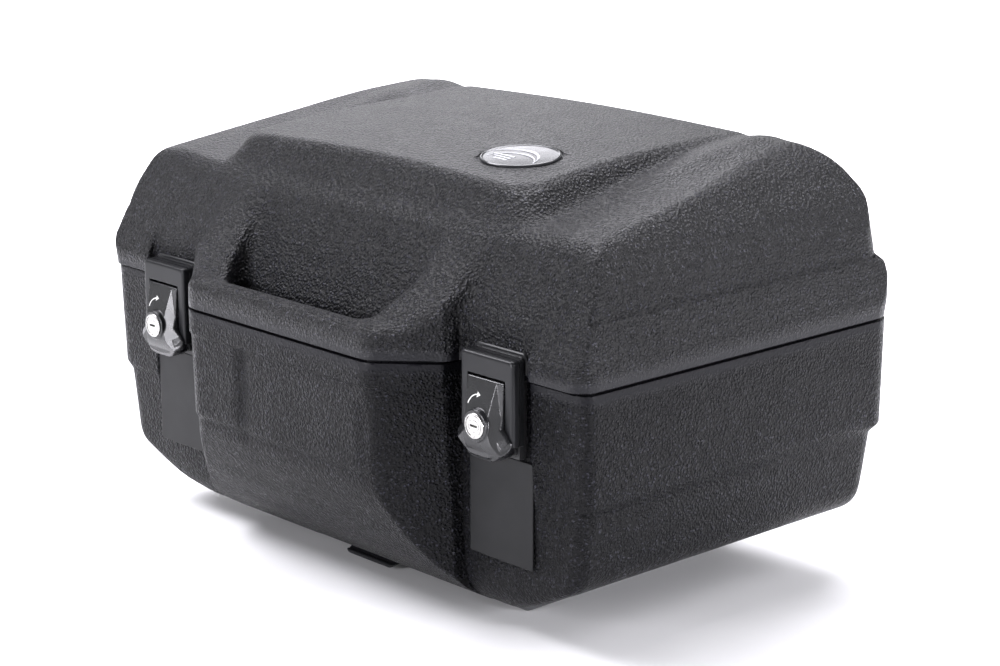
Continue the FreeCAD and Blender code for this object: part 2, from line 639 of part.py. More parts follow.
# ---------------------------------------------------------------- rear hinges
def hinge(side, sign):
    n = side + "_"
    cx = "%d * hinge_x" % sign
    # base leaf: plate on the rear wall below the seam, two outer knuckles
    plate = box(n + "hb_plate", cx + " - leaf_width / 2", cx + " + leaf_width / 2", "rear_y", "rear_y + 2.5", 160, 209)
    parts = [plate]
    for k, (a, b) in enumerate((("0 - leaf_width / 2", "0 - 11"), ("11", "leaf_width / 2"))):
        parts.append(box(n + "hb_web_%d" % k, cx + " + " + a, cx + " + " + b, "rear_y", "hinge_y", 202, 212.5))
        parts.append(cyl(n + "hb_knuckle_%d" % k, "knuckle_rad", "(%s) - (%s)" % (b, a), cx + " + " + a, "hinge_y", "hinge_z", "x"))
    hole = cyl(n + "hb_hole", "hinge_pin_rad", 100, cx + " - 50", "hinge_y", "hinge_z", "x")
    trim = box(n + "hb_trim", cx + " - 40", cx + " + 40", "rear_y - 5", "rear_y + 0.0", 150, 240)
    node(cut(n + "hb", fuse(n + "hb_sum", *parts), fuse(n + "hb_tools", hole, trim)), n + "hinge_base_leaf")
    # lid leaf: plate on the lid's rear wall, one middle knuckle
    lid_plate = box(n + "hl_plate", cx + " - 25", cx + " + 25", "rear_y + 0.9", "rear_y + 3.2", 223, 255)
    web = box(n + "hl_web", cx + " - 10.6", cx + " + 10.6", "rear_y + 0.9", "hinge_y - 1", 218.5, 226)
    knuckle = cyl(n + "hl_knuckle", "knuckle_rad", 21.2, cx + " - 10.6", "hinge_y", "hinge_z", "x")
    hole2 = cyl(n + "hl_hole", "hinge_pin_rad + running", 60, cx + " - 30", "hinge_y", "hinge_z", "x")
    node(cut(n + "hl", fuse(n + "hl_sum", lid_plate, web, knuckle), hole2), n + "hinge_lid_leaf")
    # pin, pressed into the base leaf
    node(cyl(n + "hpin", "hinge_pin_rad", "leaf_width", cx + " - leaf_width / 2", "hinge_y", "hinge_z", "x"), n + "hinge_pin")


hinge("right", 1)
hinge("left", -1)
hb, hl = [], []
for s in (-1, 1):
    for dx in (-20, 20):
        for z in (170.0, 193.0):
            hb.append((s * D["hinge_x"] + dx, YR + 2.5, z))
        hl.append((s * D["hinge_x"] + dx, YR + 3.2, 244.0))
screws("hinge_base_screws", hb, (0, 1, 0), 4.0, 2.0, 2.0, 5.8)
screws("hinge_lid_screws", hl, (0, 1, 0), 4.0, 1.8, 2.0, 6.0)

# ---------------------------------------------------------------- underside
# docking plate below the platform, with the rack bolt holes and the bolt slot
dock = doc.addObject("PartDesign::Body", "dock_body")
ds = sketch_on(dock, "XY_Plane", "dock_outline")
sketch_poly(ds, [(-100, -62), (-92, -70), (92, -70), (100, -62), (100, 112), (92, 120), (-92, 120), (-100, 112)])
pad(dock, ds, "dock_pad", 4.0)
dh = sketch_on(dock, "XY_Plane", "dock_holes_sketch")
for sx, sy in ((-1, -1), (1, -1), (1, 1), (-1, 1)):
    dh.addGeometry(Part.Circle(Vector(sx * D["bolt_sx"] / 2, D["bolt_cy"] + sy * D["bolt_sy"] / 2, 0), Vector(0, 0, 1), D["bolt_rad"]), False)
sketch_poly(dh, [(-17, -46), (17, -46), (17, -18), (-17, -18)])
dp = dock.newObject("PartDesign::Pocket", "dock_pocket")
dp.Profile = dh
dp.Type = "ThroughAll"
dp.Reversed = True
dock.Placement = Placement(Vector(0, 0, D["floor_z"] - 4.0), Rotation())
node(dock, "dock_plate")

# skids that the case stands on
for side, sign in (("right", 1), ("left", -1)):
    x = sign * D["skid_x"]
    y0, y1, w = D["skid_front"], D["skid_rear"], D["skid_width"] / 2
    sk = prism_x(side + "_skid_side", [(y0, 10), (y0 + 1.5, 4.5), (y0 + 9, 0), (y1 - 9, 0), (y1 - 1.5, 4.5), (y1, 10)],
                 x - w, x + w)
    sk.setExpression("LengthFwd", q("%d * skid_x + skid_width / 2" % sign))
    sk.setExpression("LengthRev", q("skid_width / 2 - %d * skid_x" % sign))
    node(sk, side + "_skid")

# inner cover over the release mechanism
cover_out = prism_x("cover_out", [(-14, 13.6), (-109.5, 13.6), (-118, 17.5), (-122, 19.5), (-122, 50), (-120, 52), (-16, 52), (-14, 50)],
                    -48.8, 48.8)
cover_in = prism_x("cover_in", [(-16.5, 5), (-119.5, 5), (-119.5, 49.5), (-16.5, 49.5)], -46.4, 46.4)
cover_raw = cut("cover_raw", cover_out, cover_in)
flange = box("cover_flange", -74, 74, -60, -40, 13.6, 16)
flange_cut = box("cover_flange_cut", -48.8, 48.8, -70, -30, 10, 20)
cover_feet = cut("cover_feet", flange, flange_cut)
cheek_a = box("cheek_a", 41.5, 45, -99, -85, 14, 49.6)
cheek_b = box("cheek_b", -45, -41.5, -99, -85, 14, 49.6)
rel_hole = cyl("rel_hole", "rel_pin_rad", 100, -50, "rel_y", "rel_z", "x")
cover = cut("cover_holes", fuse("cover_sum", cover_raw, cover_feet, cheek_a, cheek_b), rel_hole)
node(cover, "mechanism_cover")

# release lever: finger flap, barrel on the pin and drive arm
flap = prism_x("flap", [(-92, 33), (-98, 32.5), (-102.5, 28), (-104.5, 20), (-105.3, 12), (-108.5, 7), (-113.5, 4.2), (-113.2, 2.4),
                        (-107, 2.0), (-101.8, 6), (-99.8, 12), (-98.5, 20), (-96, 24.5), (-92, 25)], -30, 30)
flap.setExpression("LengthFwd", q("rel_half"))
flap.setExpression("LengthRev", q("rel_half"))
barrel = cyl("rel_barrel", 5.0, "2 * rel_half", "0 - rel_half", "rel_y", "rel_z", "x")
arm = box("rel_arm", -5, 5, "rel_y - 2", "rel_y + 2", "rel_z + 3", "rel_z + drive_arm + 2")
rel_bore = cyl("rel_bore", "rel_pin_rad + running", 80, -40, "rel_y", "rel_z", "x")
node(cut("release_cut", fuse("release_sum", flap, barrel, arm), rel_bore), "release_lever")
node(cyl("release_pin_c", "rel_pin_rad", 90, -45, "rel_y", "rel_z", "x"), "release_pin")

# return spring: open coil round the pin beside the lever's barrel
helix = Part.makeHelix(2.2, 7.7, 4.6)
helix_wire = Part.Wire(helix.Edges)
section = Part.Wire([Part.makeCircle(0.7, Vector(4.6, 0, 0), Vector(0, 1, 0))])
coil = helix_wire.makePipeShell([section], True, True)
coil.rotate(Vector(0, 0, 0), Vector(0, 1, 0), 90)
coil.translate(Vector(31.6, D["rel_y"], D["rel_z"]))
node(feature("spring_coil", coil), "release_spring")

# locking bolt: slides back when the lever is pulled; its hook goes down through the floor
bar = box("bolt_bar", -11, 11, -104, -24, 38, 45)
bar_slot = box("bolt_slot", -6, 6, "rel_y - 4.4", "rel_y + 4.4", 30, 48)
hook = box("bolt_hook", -11, 11, -38, -30, 7.5, 45)
tip = box("bolt_tip", -11, 11, -42, -30, 7.5, 11)
node(cut("bolt_cut", fuse("bolt_sum", bar, hook, tip), bar_slot), "locking_bolt")

dock_spots = [(sx * 88, y, D["floor_z"] - 4.0) for sx in (-1, 1) for y in (-55, 108)]
screws("dock_plate_screws", dock_spots, (0, 0, -1), 4.0, 2.0, 2.0, 7.4)
screws("cover_screws", [(sx * 68, -50, 16.0) for sx in (-1, 1)], (0, 0, 1), 3.2, 1.8, 1.6, 5.0)
screws("skid_screws", [(sx * D["skid_x"], y, 13.5) for sx in (-1, 1) for y in (-70, 10, 90)], (0, 0, 1), 4.0, 2.0, 2.0, 10.0)

# ---------------------------------------------------------------- recompute, check, write
doc.recompute()

# screws are pressed into what they hold: the holes are cut at their real size
HOLES = {
    "base_shell": ["latch_bracket_screws", "hinge_base_screws", "dock_plate_screws", "cover_screws", "skid_screws"],
    "lid_shell": ["catch_screws", "hinge_lid_screws"],
    "right_latch_bracket": ["latch_bracket_screws"], "left_latch_bracket": ["latch_bracket_screws"],
    "right_catch": ["catch_screws"], "left_catch": ["catch_screws"],
    "right_hinge_base_leaf": ["hinge_base_screws"], "left_hinge_base_leaf": ["hinge_base_screws"],
    "right_hinge_lid_leaf": ["hinge_lid_screws"], "left_hinge_lid_leaf": ["hinge_lid_screws"],
    "dock_plate": ["dock_plate_screws"], "mechanism_cover": ["cover_screws"],
    "right_skid": ["skid_screws"], "left_skid": ["skid_screws"],
}
for label, groups in HOLES.items():
    base = FINAL[label]
    tools = [FINAL[g] for g in groups]
    tool = tools[0] if len(tools) == 1 else fuse(label + "_fasteners", *tools)
    drilled = cut(label + "_drilled", base, tool)
    base.Label = label + "_blank"
    node(drilled, label)
doc.recompute()

bad = [o.Name for o in doc.Objects if any(s in ("Invalid", "Error") for s in o.State)]
if bad:
    raise RuntimeError("objects that failed to compute: %s" % bad)
for label, obj in sorted(FINAL.items()):
    shape = obj.Shape
    if shape.isNull() or not shape.isValid() or not shape.Solids:
        raise RuntimeError("bad shape: %s" % label)

os.makedirs("parts", exist_ok=True)
for label, obj in sorted(FINAL.items()):
    obj.Shape.exportStep("parts/%s.step" % label)
    b = obj.Shape.BoundBox
    print("%-24s solids %2d  vol %9.1f cm3  x %7.1f %7.1f  y %7.1f %7.1f  z %6.1f %6.1f" % (
        label, len(obj.Shape.Solids), obj.Shape.Volume / 1000.0, b.XMin, b.XMax, b.YMin, b.YMax, b.ZMin, b.ZMax))
print("nodes", len(FINAL))
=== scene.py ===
import math
from concurrent.futures import ThreadPoolExecutor

import bmesh
import bpy
import numpy as np
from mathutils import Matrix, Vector


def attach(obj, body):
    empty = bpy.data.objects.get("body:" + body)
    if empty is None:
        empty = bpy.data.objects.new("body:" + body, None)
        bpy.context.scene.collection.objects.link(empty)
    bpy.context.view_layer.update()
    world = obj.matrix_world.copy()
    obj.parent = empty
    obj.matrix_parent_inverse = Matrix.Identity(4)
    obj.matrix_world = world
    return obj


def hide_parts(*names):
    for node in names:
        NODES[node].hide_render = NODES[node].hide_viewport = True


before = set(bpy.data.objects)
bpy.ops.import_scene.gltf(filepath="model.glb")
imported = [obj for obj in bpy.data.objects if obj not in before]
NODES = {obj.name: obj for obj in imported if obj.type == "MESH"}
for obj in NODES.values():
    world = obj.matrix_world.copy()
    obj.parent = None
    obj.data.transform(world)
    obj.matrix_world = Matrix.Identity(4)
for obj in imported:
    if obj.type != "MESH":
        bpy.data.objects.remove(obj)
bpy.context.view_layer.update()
SEAM = 212.0            # seam between base and lid, mm above the floor
POOL = ThreadPoolExecutor(4)


# ------------------------------------------------------------------ distance fields, in millimetres
def rint(a, b, r, turn=90.0):
    """Intersection with an edge rounded to radius r, where the surface turns by that many degrees."""
    if r <= 0:
        return np.maximum(a, b)
    k = 4 * r * (1 - math.cos(math.radians(turn) / 2))
    h = np.maximum(k - np.abs(a - b), 0)
    return np.maximum(a, b) + h * h * (0.25 / k)


def runi(a, b, r, turn=90.0):
    """Union with its inner corner filleted to radius r."""
    return -rint(-a, -b, r, turn)


def rsub(a, b, r, turn=90.0):
    return rint(a, -b, r, turn)


def edge(u, v, p, q):
    """Signed distance to the line from p to q, positive on its left."""
    du, dv = q[0] - p[0], q[1] - p[1]
    n = math.hypot(du, dv)
    return ((v - p[1]) * du - (u - p[0]) * dv) / n


def chain(u, v, pts, r):
    """Convex outline given as consecutive lines; outside is on the left of each."""
    f, last = None, 0.0
    for p, q in zip(pts[:-1], pts[1:]):
        e = edge(u, v, p, q)
        way = math.degrees(math.atan2(q[1] - p[1], q[0] - p[0]))
        f = e if f is None else rint(f, e, r, abs((way - last + 180) % 360 - 180))
        last = way
    return f


def soft(pts, sigma, step=0.5):
    """Piecewise linear curve through pts, blurred by sigma, as a lookup."""
    xs = np.array([p[0] for p in pts], float)
    ys = np.array([p[1] for p in pts], float)
    t = np.arange(xs[0] - 40, xs[-1] + 40, step)
    v = np.interp(t, xs, ys)
    k = np.arange(-int(4 * sigma / step) - 1, int(4 * sigma / step) + 2)
    w = np.exp(-0.5 * (k * step / sigma) ** 2)
    w /= w.sum()
    v = np.convolve(np.pad(v, len(k) // 2, mode="edge"), w, mode="valid")
    return lambda x: np.interp(x, t, v).astype(x.dtype)


def plan(x, y, hw, yf, yr, rf, rr):
    """Rounded rectangle in plan: half width hw, front yf, rear yr, corner radii rf and rr."""
    front = y < 0.5 * (yf + yr)
    r = np.where(front, rf, rr)
    dx = np.abs(x) - (hw - r)
    dy = np.where(front, yf + r - y, y - yr + r)
    return np.minimum(np.maximum(dx, dy), 0) + np.hypot(np.maximum(dx, 0), np.maximum(dy, 0)) - r


def slab(x, y, z, lo, hi, r):
    """Box from lo to hi with all its edges rounded by r."""
    c = [(a + b) / 2 for a, b in zip(lo, hi)]
    s = [(b - a) / 2 - r for a, b in zip(lo, hi)]
    q = [np.abs(p - m) - k for p, m, k in zip((x, y, z), c, s)]
    out = np.sqrt(sum(np.maximum(a, 0) ** 2 for a in q))
    return out + np.minimum(np.maximum(np.maximum(q[0], q[1]), q[2]), 0) - r


def segment(u, v, p, q):
    """Distance to the segment from p to q."""
    du, dv = q[0] - p[0], q[1] - p[1]
    t = np.clip(((u - p[0]) * du + (v - p[1]) * dv) / (du * du + dv * dv), 0, 1)
    return np.hypot(u - p[0] - t * du, v - p[1] - t * dv)


def strip(u, v, pts):
    f = None
    for p, q in zip(pts[:-1], pts[1:]):
        d = segment(u, v, p, q)
        f = d if f is None else np.minimum(f, d)
    return f


# ------------------------------------------------------------------ meshing a field
def sample(field, p):
    """field at the points p (n x 3), on four threads."""
    p = np.ascontiguousarray(p, np.float32)
    n = len(p)
    if n == 0:
        return np.zeros(0, np.float32)
    parts = np.array_split(np.arange(n), max(4, n // 60000))
    done = POOL.map(lambda i: field(p[i[0]:i[-1] + 1, 0], p[i[0]:i[-1] + 1, 1], p[i[0]:i[-1] + 1, 2]) if len(i) else np.zeros(0), parts)
    return np.concatenate([np.asarray(d, np.float32) for d in done])


def contour(field, lo, hi, h):
    """Closed quad mesh of field < 0 by dual contouring, which keeps sharp edges. Returns vertices in mm and faces."""
    B = 4
    lo = np.array(lo, float)
    nb = np.ceil((np.array(hi, float) - lo) / (h * B)).astype(int)
    n = nb * B + 1
    centre = np.stack(np.meshgrid(*[lo[i] + (np.arange(nb[i]) + 0.5) * B * h for i in range(3)], indexing="ij"), -1)
    fc = sample(field, centre.reshape(-1, 3)).reshape(nb)
    v = np.where(fc < 0, -1e3, 1e3).astype(np.float32)
    for a in range(3):
        v = np.repeat(v, B, axis=a)
    v = np.pad(v, ((0, 1),) * 3, mode="edge")
    act = np.argwhere(np.abs(fc) < 0.866 * B * h * 1.35 + 0.3)
    off = np.stack(np.meshgrid(*[np.arange(B + 1)] * 3, indexing="ij"), -1).reshape(-1, 3)
    idx = (act[:, None, :] * B + off[None]).reshape(-1, 3)
    flat = np.ravel_multi_index(idx.T, n)
    flat = np.unique(flat)
    idx = np.stack(np.unravel_index(flat, n), -1)
    vals = sample(field, lo + idx * h)
    vals[vals == 0] = 1e-4
    v.reshape(-1)[flat] = vals

    cn = n - 1
    e_p, e_n, e_c, quads = [], [], [], []
    for a in range(3):
        b, c = (a + 1) % 3, (a + 2) % 3
        s0 = [slice(None)] * 3
        s1 = [slice(None)] * 3
        s0[a], s1[a] = slice(0, -1), slice(1, None)
        v0, v1 = v[tuple(s0)], v[tuple(s1)]
        at = np.argwhere((v0 < 0) != (v1 < 0))
        at = at[(at[:, b] > 0) & (at[:, b] < n[b] - 1) & (at[:, c] > 0) & (at[:, c] < n[c] - 1)]
        f0 = v[at[:, 0], at[:, 1], at[:, 2]].astype(float)
        nxt = at.copy()
        nxt[:, a] += 1
        f1 = v[nxt[:, 0], nxt[:, 1], nxt[:, 2]].astype(float)
        inside_first = f0 < 0
        t0, t1 = np.zeros(len(at)), np.ones(len(at))
        t = f0 / (f0 - f1)
        for _ in range(2):
            t = np.clip(t, 0.02, 0.98)
            p = lo + at * h
            p[:, a] += t * h
            f = sample(field, p).astype(float)
            same = (f < 0) == (f0 < 0)
            t0, f0 = np.where(same, t, t0), np.where(same, f, f0)
            t1, f1 = np.where(same, t1, t), np.where(same, f1, f)
            den = np.where(np.abs(f0 - f1) < 1e-9, 1e-9, f0 - f1)
            t = t0 + (t1 - t0) * np.clip(f0 / den, 0, 1)
        p = lo + at * h
        p[:, a] += t * h
        cells = []
        for db, dc in ((-1, -1), (0, -1), (0, 0), (-1, 0)):
            q = at.copy()
            q[:, b] += db
            q[:, c] += dc
            cells.append(np.ravel_multi_index(q.T, cn))
        cells = np.stack(cells, -1)
        quads.append(np.where(inside_first[:, None], cells, cells[:, ::-1]))
        e_p.append(p)
        e_c.append(cells)
    P = np.concatenate(e_p)
    C = np.concatenate(e_c)
    Q = np.concatenate(quads)
    eps = min(0.25, 0.2 * h)
    K = np.array([[1, -1, -1], [-1, -1, 1], [-1, 1, -1], [1, 1, 1]], float)
    N = sum(k[None] * sample(field, P + k * eps)[:, None] for k in K)
    N /= np.maximum(np.linalg.norm(N, axis=1), 1e-9)[:, None]

    used = np.zeros(int(np.prod(cn)), bool)
    used[C.reshape(-1)] = True
    new = np.cumsum(used) - 1
    count = int(used.sum())
    ids = new[C]
    ctr = lo + (np.stack(np.unravel_index(np.flatnonzero(used), cn), -1) + 0.5) * h
    A = np.zeros((count, 3, 3))
    bvec = np.zeros((count, 3))
    mass = np.zeros((count, 3))
    num = np.zeros(count)
    for k in range(4):
        i = ids[:, k]
        rel = P - ctr[i]
        d = (N * rel).sum(1)
        num += np.bincount(i, minlength=count)
        for a in range(3):
            mass[:, a] += np.bincount(i, rel[:, a], count)
            bvec[:, a] += np.bincount(i, N[:, a] * d, count)
            for b in range(a, 3):
                A[:, a, b] += np.bincount(i, N[:, a] * N[:, b], count)
    A[:, 1, 0], A[:, 2, 0], A[:, 2, 1] = A[:, 0, 1], A[:, 0, 2], A[:, 1, 2]
    mass /= num[:, None]
    rhs = bvec - np.einsum("nij,nj->ni", A, mass)
    x = np.linalg.solve(A + 0.03 * np.eye(3), rhs[..., None])[..., 0] + mass
    x = np.clip(x, -0.5 * h, 0.5 * h)
    return ctr + x, new[Q]


def to_object(name, verts, faces, mat, sharp=50, smooth=True):
    """Mesh object from vertices in mm, in place, in metres."""
    me = bpy.data.meshes.new(name)
    verts = np.asarray(verts, np.float32) * 0.001
    faces = np.asarray(faces, np.int32)
    k = faces.shape[1]
    me.vertices.add(len(verts))
    me.vertices.foreach_set("co", verts.reshape(-1))
    me.loops.add(faces.size)
    me.loops.foreach_set("vertex_index", faces.reshape(-1))
    me.polygons.add(len(faces))
    me.polygons.foreach_set("loop_start", np.arange(0, faces.size, k, dtype=np.int32))
    me.update(calc_edges=True)
    me.validate()
    me.polygons.foreach_set("use_smooth", np.full(len(me.polygons), smooth))
    if smooth and sharp:
        me.set_sharp_from_angle(angle=math.radians(sharp))
    me.materials.append(mat)
    ob = bpy.data.objects.new(name, me)
    bpy.context.scene.collection.objects.link(ob)
    return ob


def piece(name, field, lo, hi, h, mat, body, replaces=(), sharp=50):
    v, f = contour(field, lo, hi, h)
    ob = to_object(name, v, f, mat, sharp)
    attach(ob, body)
    if replaces:
        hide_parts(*replaces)
    return ob


def rounded_outline(pts, radii, n=6):
    """Closed convex outline, counter-clockwise, with rounded corners: points and outward normals."""
    out, nor = [], []
    m = len(pts)
    for i in range(m):
        p0, p1, p2 = (np.array(pts[(i + k) % m], float) for k in (-1, 0, 1))
        a, b = (p0 - p1) / np.linalg.norm(p0 - p1), (p2 - p1) / np.linalg.norm(p2 - p1)
        r = radii[i] if isinstance(radii, (list, tuple)) else radii
        half = math.acos(max(-1, min(1, float(a @ b)))) / 2
        c = p1 + (a + b) / np.linalg.norm(a + b) * r / math.sin(half)
        n0, n1 = np.array([-a[1], a[0]]), np.array([b[1], -b[0]])
        t0 = math.atan2(n0[1], n0[0])
        t1 = math.atan2(n1[1], n1[0])
        t1 += 2 * math.pi * math.ceil((t0 - t1) / (2 * math.pi) - 1e-9)
        for k in range(n + 1):
            t = t0 + (t1 - t0) * k / n
            d = np.array([math.cos(t), math.sin(t)])
            out.append(c + d * r)
            nor.append(d)
    return np.array(out), np.array(nor)


def prism(name, outline, steps, place, mat, body, replaces=(), sharp=30):
    """Closed solid from one outline: steps are (inset, height) pairs from the bottom cap to the top cap."""
    pts, nor = outline
    n = len(pts)
    verts, faces = [], []
    for inset, h in steps:
        for q in pts - nor * inset:
            verts.append([c * 0.001 for c in place(q[0], q[1], h)])
    for k in range(len(steps) - 1):
        for i in range(n):
            j = (i + 1) % n
            faces.append((k * n + i, k * n + j, (k + 1) * n + j, (k + 1) * n + i))
    faces.append(tuple(range(n - 1, -1, -1)))
    faces.append(tuple((len(steps) - 1) * n + i for i in range(n)))
    me = bpy.data.meshes.new(name)
    me.from_pydata(verts, [], faces)
    me.update()
    bm = bmesh.new()
    bm.from_mesh(me)
    bmesh.ops.recalc_face_normals(bm, faces=bm.faces)
    bm.to_mesh(me)
    bm.free()
    me.polygons.foreach_set("use_smooth", np.full(len(me.polygons), True))
    me.set_sharp_from_angle(angle=math.radians(sharp))
    me.materials.append(mat)
    ob = bpy.data.objects.new(name, me)
    bpy.context.scene.collection.objects.link(ob)
    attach(ob, body)
    if replaces:
        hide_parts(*replaces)
    return ob


def bevel(h0, h1, r, n=3):
    """Steps of a plain slab with edges rounded by r."""
    low = [(r * (1 - math.sin(k * math.pi / 2 / n)), h0 + r * (1 - math.cos(k * math.pi / 2 / n))) for k in range(n + 1)]
    low = [(r + 0.4, h0)] + low
    return low + [(i, h1 - (h - h0)) for i, h in reversed(low)]


# ------------------------------------------------------------------ materials
def link(t, a, b):
    t.links.new(a, b)


def node(t, kind, **props):
    n = t.nodes.new(kind)
    for k, v in props.items():
        setattr(n, k, v)
    return n


def ramp(t, src, stops):
    r = node(t, "ShaderNodeValToRGB")
    while len(r.color_ramp.elements) > 2:
        r.color_ramp.elements.remove(r.color_ramp.elements[-1])
    for i, (pos, col) in enumerate(stops):
        e = r.color_ramp.elements[i] if i < 2 else r.color_ramp.elements.new(pos)
        e.position = pos
        e.color = (*col, 1) if len(col) == 3 else col
    link(t, src, r.inputs[0])
    return r.outputs[0]


def grey(v):
    return (v, v, v)


def math_node(t, op, a, b=None, c=None, clamp=False):
    m = node(t, "ShaderNodeMath", operation=op, use_clamp=clamp)
    for i, s in enumerate((a, b, c)):
        if s is None:
            continue
        if isinstance(s, (int, float)):
            m.inputs[i].default_value = s
        else:
            link(t, s, m.inputs[i])
    return m.outputs[0]


def map_range(t, src, a, b, c, d, smooth=True):
    m = node(t, "ShaderNodeMapRange")
    m.interpolation_type = "SMOOTHSTEP" if smooth else "LINEAR"
    for i, v in enumerate((a, b, c, d)):
        m.inputs[i + 1].default_value = v
    link(t, src, m.inputs[0])
    return m.outputs[0]


def start(name):
    m = bpy.data.materials.new(name)
    m.use_nodes = True
    t = m.node_tree
    bsdf = t.nodes["Principled BSDF"]
    coord = node(t, "ShaderNodeTexCoord")
    return m, t, bsdf, coord.outputs["Object"]


def noise(t, co, scale, detail=3.0, rough=0.55):
    n = node(t, "ShaderNodeTexNoise")
    n.inputs["Scale"].default_value = scale
    n.inputs["Detail"].default_value = detail
    n.inputs["Roughness"].default_value = rough
    link(t, co, n.inputs["Vector"])
    return n.outputs["Fac"]


def grained(name, spec, gain):
    """Moulded charcoal ABS with a coarse pebble grain that fades out beside the seam."""
    m, t, bsdf, co = start(name)
    sep = node(t, "ShaderNodeSeparateXYZ")
    link(t, co, sep.inputs[0])
    # grain amount: none on the smooth strips at the rim
    dz = math_node(t, "ABSOLUTE", math_node(t, "SUBTRACT", sep.outputs[2], SEAM * 0.001))
    amount = map_range(t, dz, 0.0045, 0.013, 0.12, 1.0)
    # pebbles about 2 mm across, of uneven size
    warp = node(t, "ShaderNodeTexNoise")
    warp.inputs["Scale"].default_value = 480.0
    warp.inputs["Detail"].default_value = 1.0
    link(t, co, warp.inputs["Vector"])
    shift = node(t, "ShaderNodeVectorMath", operation="MULTIPLY_ADD")
    shift.inputs[1].default_value = (0.0015, 0.0015, 0.0015)
    link(t, warp.outputs["Color"], shift.inputs[0])
    link(t, co, shift.inputs[2])
    vor = node(t, "ShaderNodeTexVoronoi", feature="F1")
    vor.inputs["Scale"].default_value = 430.0
    vor.inputs["Randomness"].default_value = 1.0
    link(t, shift.outputs[0], vor.inputs["Vector"])
    peb = map_range(t, vor.outputs["Distance"], 0.05, 0.75, 1.0, 0.0)
    fine = noise(t, co, 1300.0, 2.0)
    height = math_node(t, "ADD", peb, math_node(t, "MULTIPLY", fine, 0.35))
    height = math_node(t, "MULTIPLY", height, amount)
    bump = node(t, "ShaderNodeBump")
    bump.inputs["Strength"].default_value = 1.0
    bump.inputs["Distance"].default_value = 0.0013
    link(t, height, bump.inputs["Height"])
    link(t, bump.outputs[0], bsdf.inputs["Normal"])
    # colour: slow random mottling, times a painted glint on the pebble tops (lighter, of uneven lightness) and painted
    # shade in the dark hollows
    mott = noise(t, co, 9.0, 4.0)
    base = ramp(t, mott, [(0.3, (0.0070 * gain, 0.0071 * gain, 0.0092 * gain)), (0.7, (0.0102 * gain, 0.0103 * gain, 0.0132 * gain))])
    sep_c = node(t, "ShaderNodeSeparateColor")
    link(t, vor.outputs["Color"], sep_c.inputs[0])
    uneven = math_node(t, "MULTIPLY", peb, map_range(t, sep_c.outputs[0], 0.25, 1.0, 0.15, 1.0, smooth=False))
    # painted highlight and shade: pebble tops painted up to six times lighter as glints, hollows painted down to a
    # fifth as shade
    painted_glint_shade = ramp(t, uneven, [(0.0, grey(0.20)), (0.45, grey(0.8)), (1.0, grey(6.0))])
    painted_glint_mix = node(t, "ShaderNodeMix", data_type="RGBA", blend_type="MIX")
    link(t, amount, painted_glint_mix.inputs["Factor"])
    painted_glint_mix.inputs["A"].default_value = (0.75, 0.75, 0.75, 1)
    link(t, painted_glint_shade, painted_glint_mix.inputs["B"])
    painted_glint_colour = node(t, "ShaderNodeMix", data_type="RGBA", blend_type="MULTIPLY")
    painted_glint_colour.inputs["Factor"].default_value = 1.0
    link(t, base, painted_glint_colour.inputs["A"])
    link(t, painted_glint_mix.outputs["Result"], painted_glint_colour.inputs["B"])
    link(t, painted_glint_colour.outputs["Result"], bsdf.inputs["Base Color"])
    rough = math_node(t, "ADD", map_range(t, noise(t, co, 26.0, 4.0), 0.3, 0.7, 0.38, 0.43),
                      math_node(t, "MULTIPLY", uneven, -0.27))
    link(t, rough, bsdf.inputs["Roughness"])
    bsdf.inputs["Specular IOR Level"].default_value = spec
    bsdf.inputs["IOR"].default_value = 1.5
    return m


def satin(name, dark, light, r0, r1, bumpy=0.00004, scale=900.0, metal=0.0, spec=0.5):
    """Smooth moulded or plated finish with fine texture and slight unevenness."""
    m, t, bsdf, co = start(name)
    n1 = noise(t, co, 14.0, 5.0)
    link(t, ramp(t, n1, [(0.3, dark), (0.72, light)]), bsdf.inputs["Base Color"])
    n2 = noise(t, co, 60.0, 6.0)
    link(t, map_range(t, n2, 0.3, 0.7, r0, r1), bsdf.inputs["Roughness"])
    n3 = noise(t, co, scale, 3.0)
    bump = node(t, "ShaderNodeBump")
    bump.inputs["Strength"].default_value = 0.5
    bump.inputs["Distance"].default_value = bumpy
    link(t, n3, bump.inputs["Height"])
    link(t, bump.outputs[0], bsdf.inputs["Normal"])
    bsdf.inputs["Metallic"].default_value = metal
    bsdf.inputs["Specular IOR Level"].default_value = spec
    return m


def brushed(name, dark, light, r0, r1, axis=0, stretch=30.0, scale=260.0, metal=1.0):
    """Metal with fine lines along one axis."""
    m, t, bsdf, co = start(name)
    mp = node(t, "ShaderNodeMapping")
    s = [stretch] * 3
    s[axis] = 1.0
    mp.inputs["Scale"].default_value = s
    link(t, co, mp.inputs["Vector"])
    n = noise(t, mp.outputs[0], scale / stretch * 2, 5.0, 0.7)
    link(t, ramp(t, n, [(0.3, dark), (0.7, light)]), bsdf.inputs["Base Color"])
    link(t, map_range(t, n, 0.3, 0.7, r0, r1), bsdf.inputs["Roughness"])
    bump = node(t, "ShaderNodeBump")
    bump.inputs["Strength"].default_value = 0.35
    bump.inputs["Distance"].default_value = 0.00003
    link(t, n, bump.inputs["Height"])
    link(t, bump.outputs[0], bsdf.inputs["Normal"])
    bsdf.inputs["Metallic"].default_value = metal
    return m
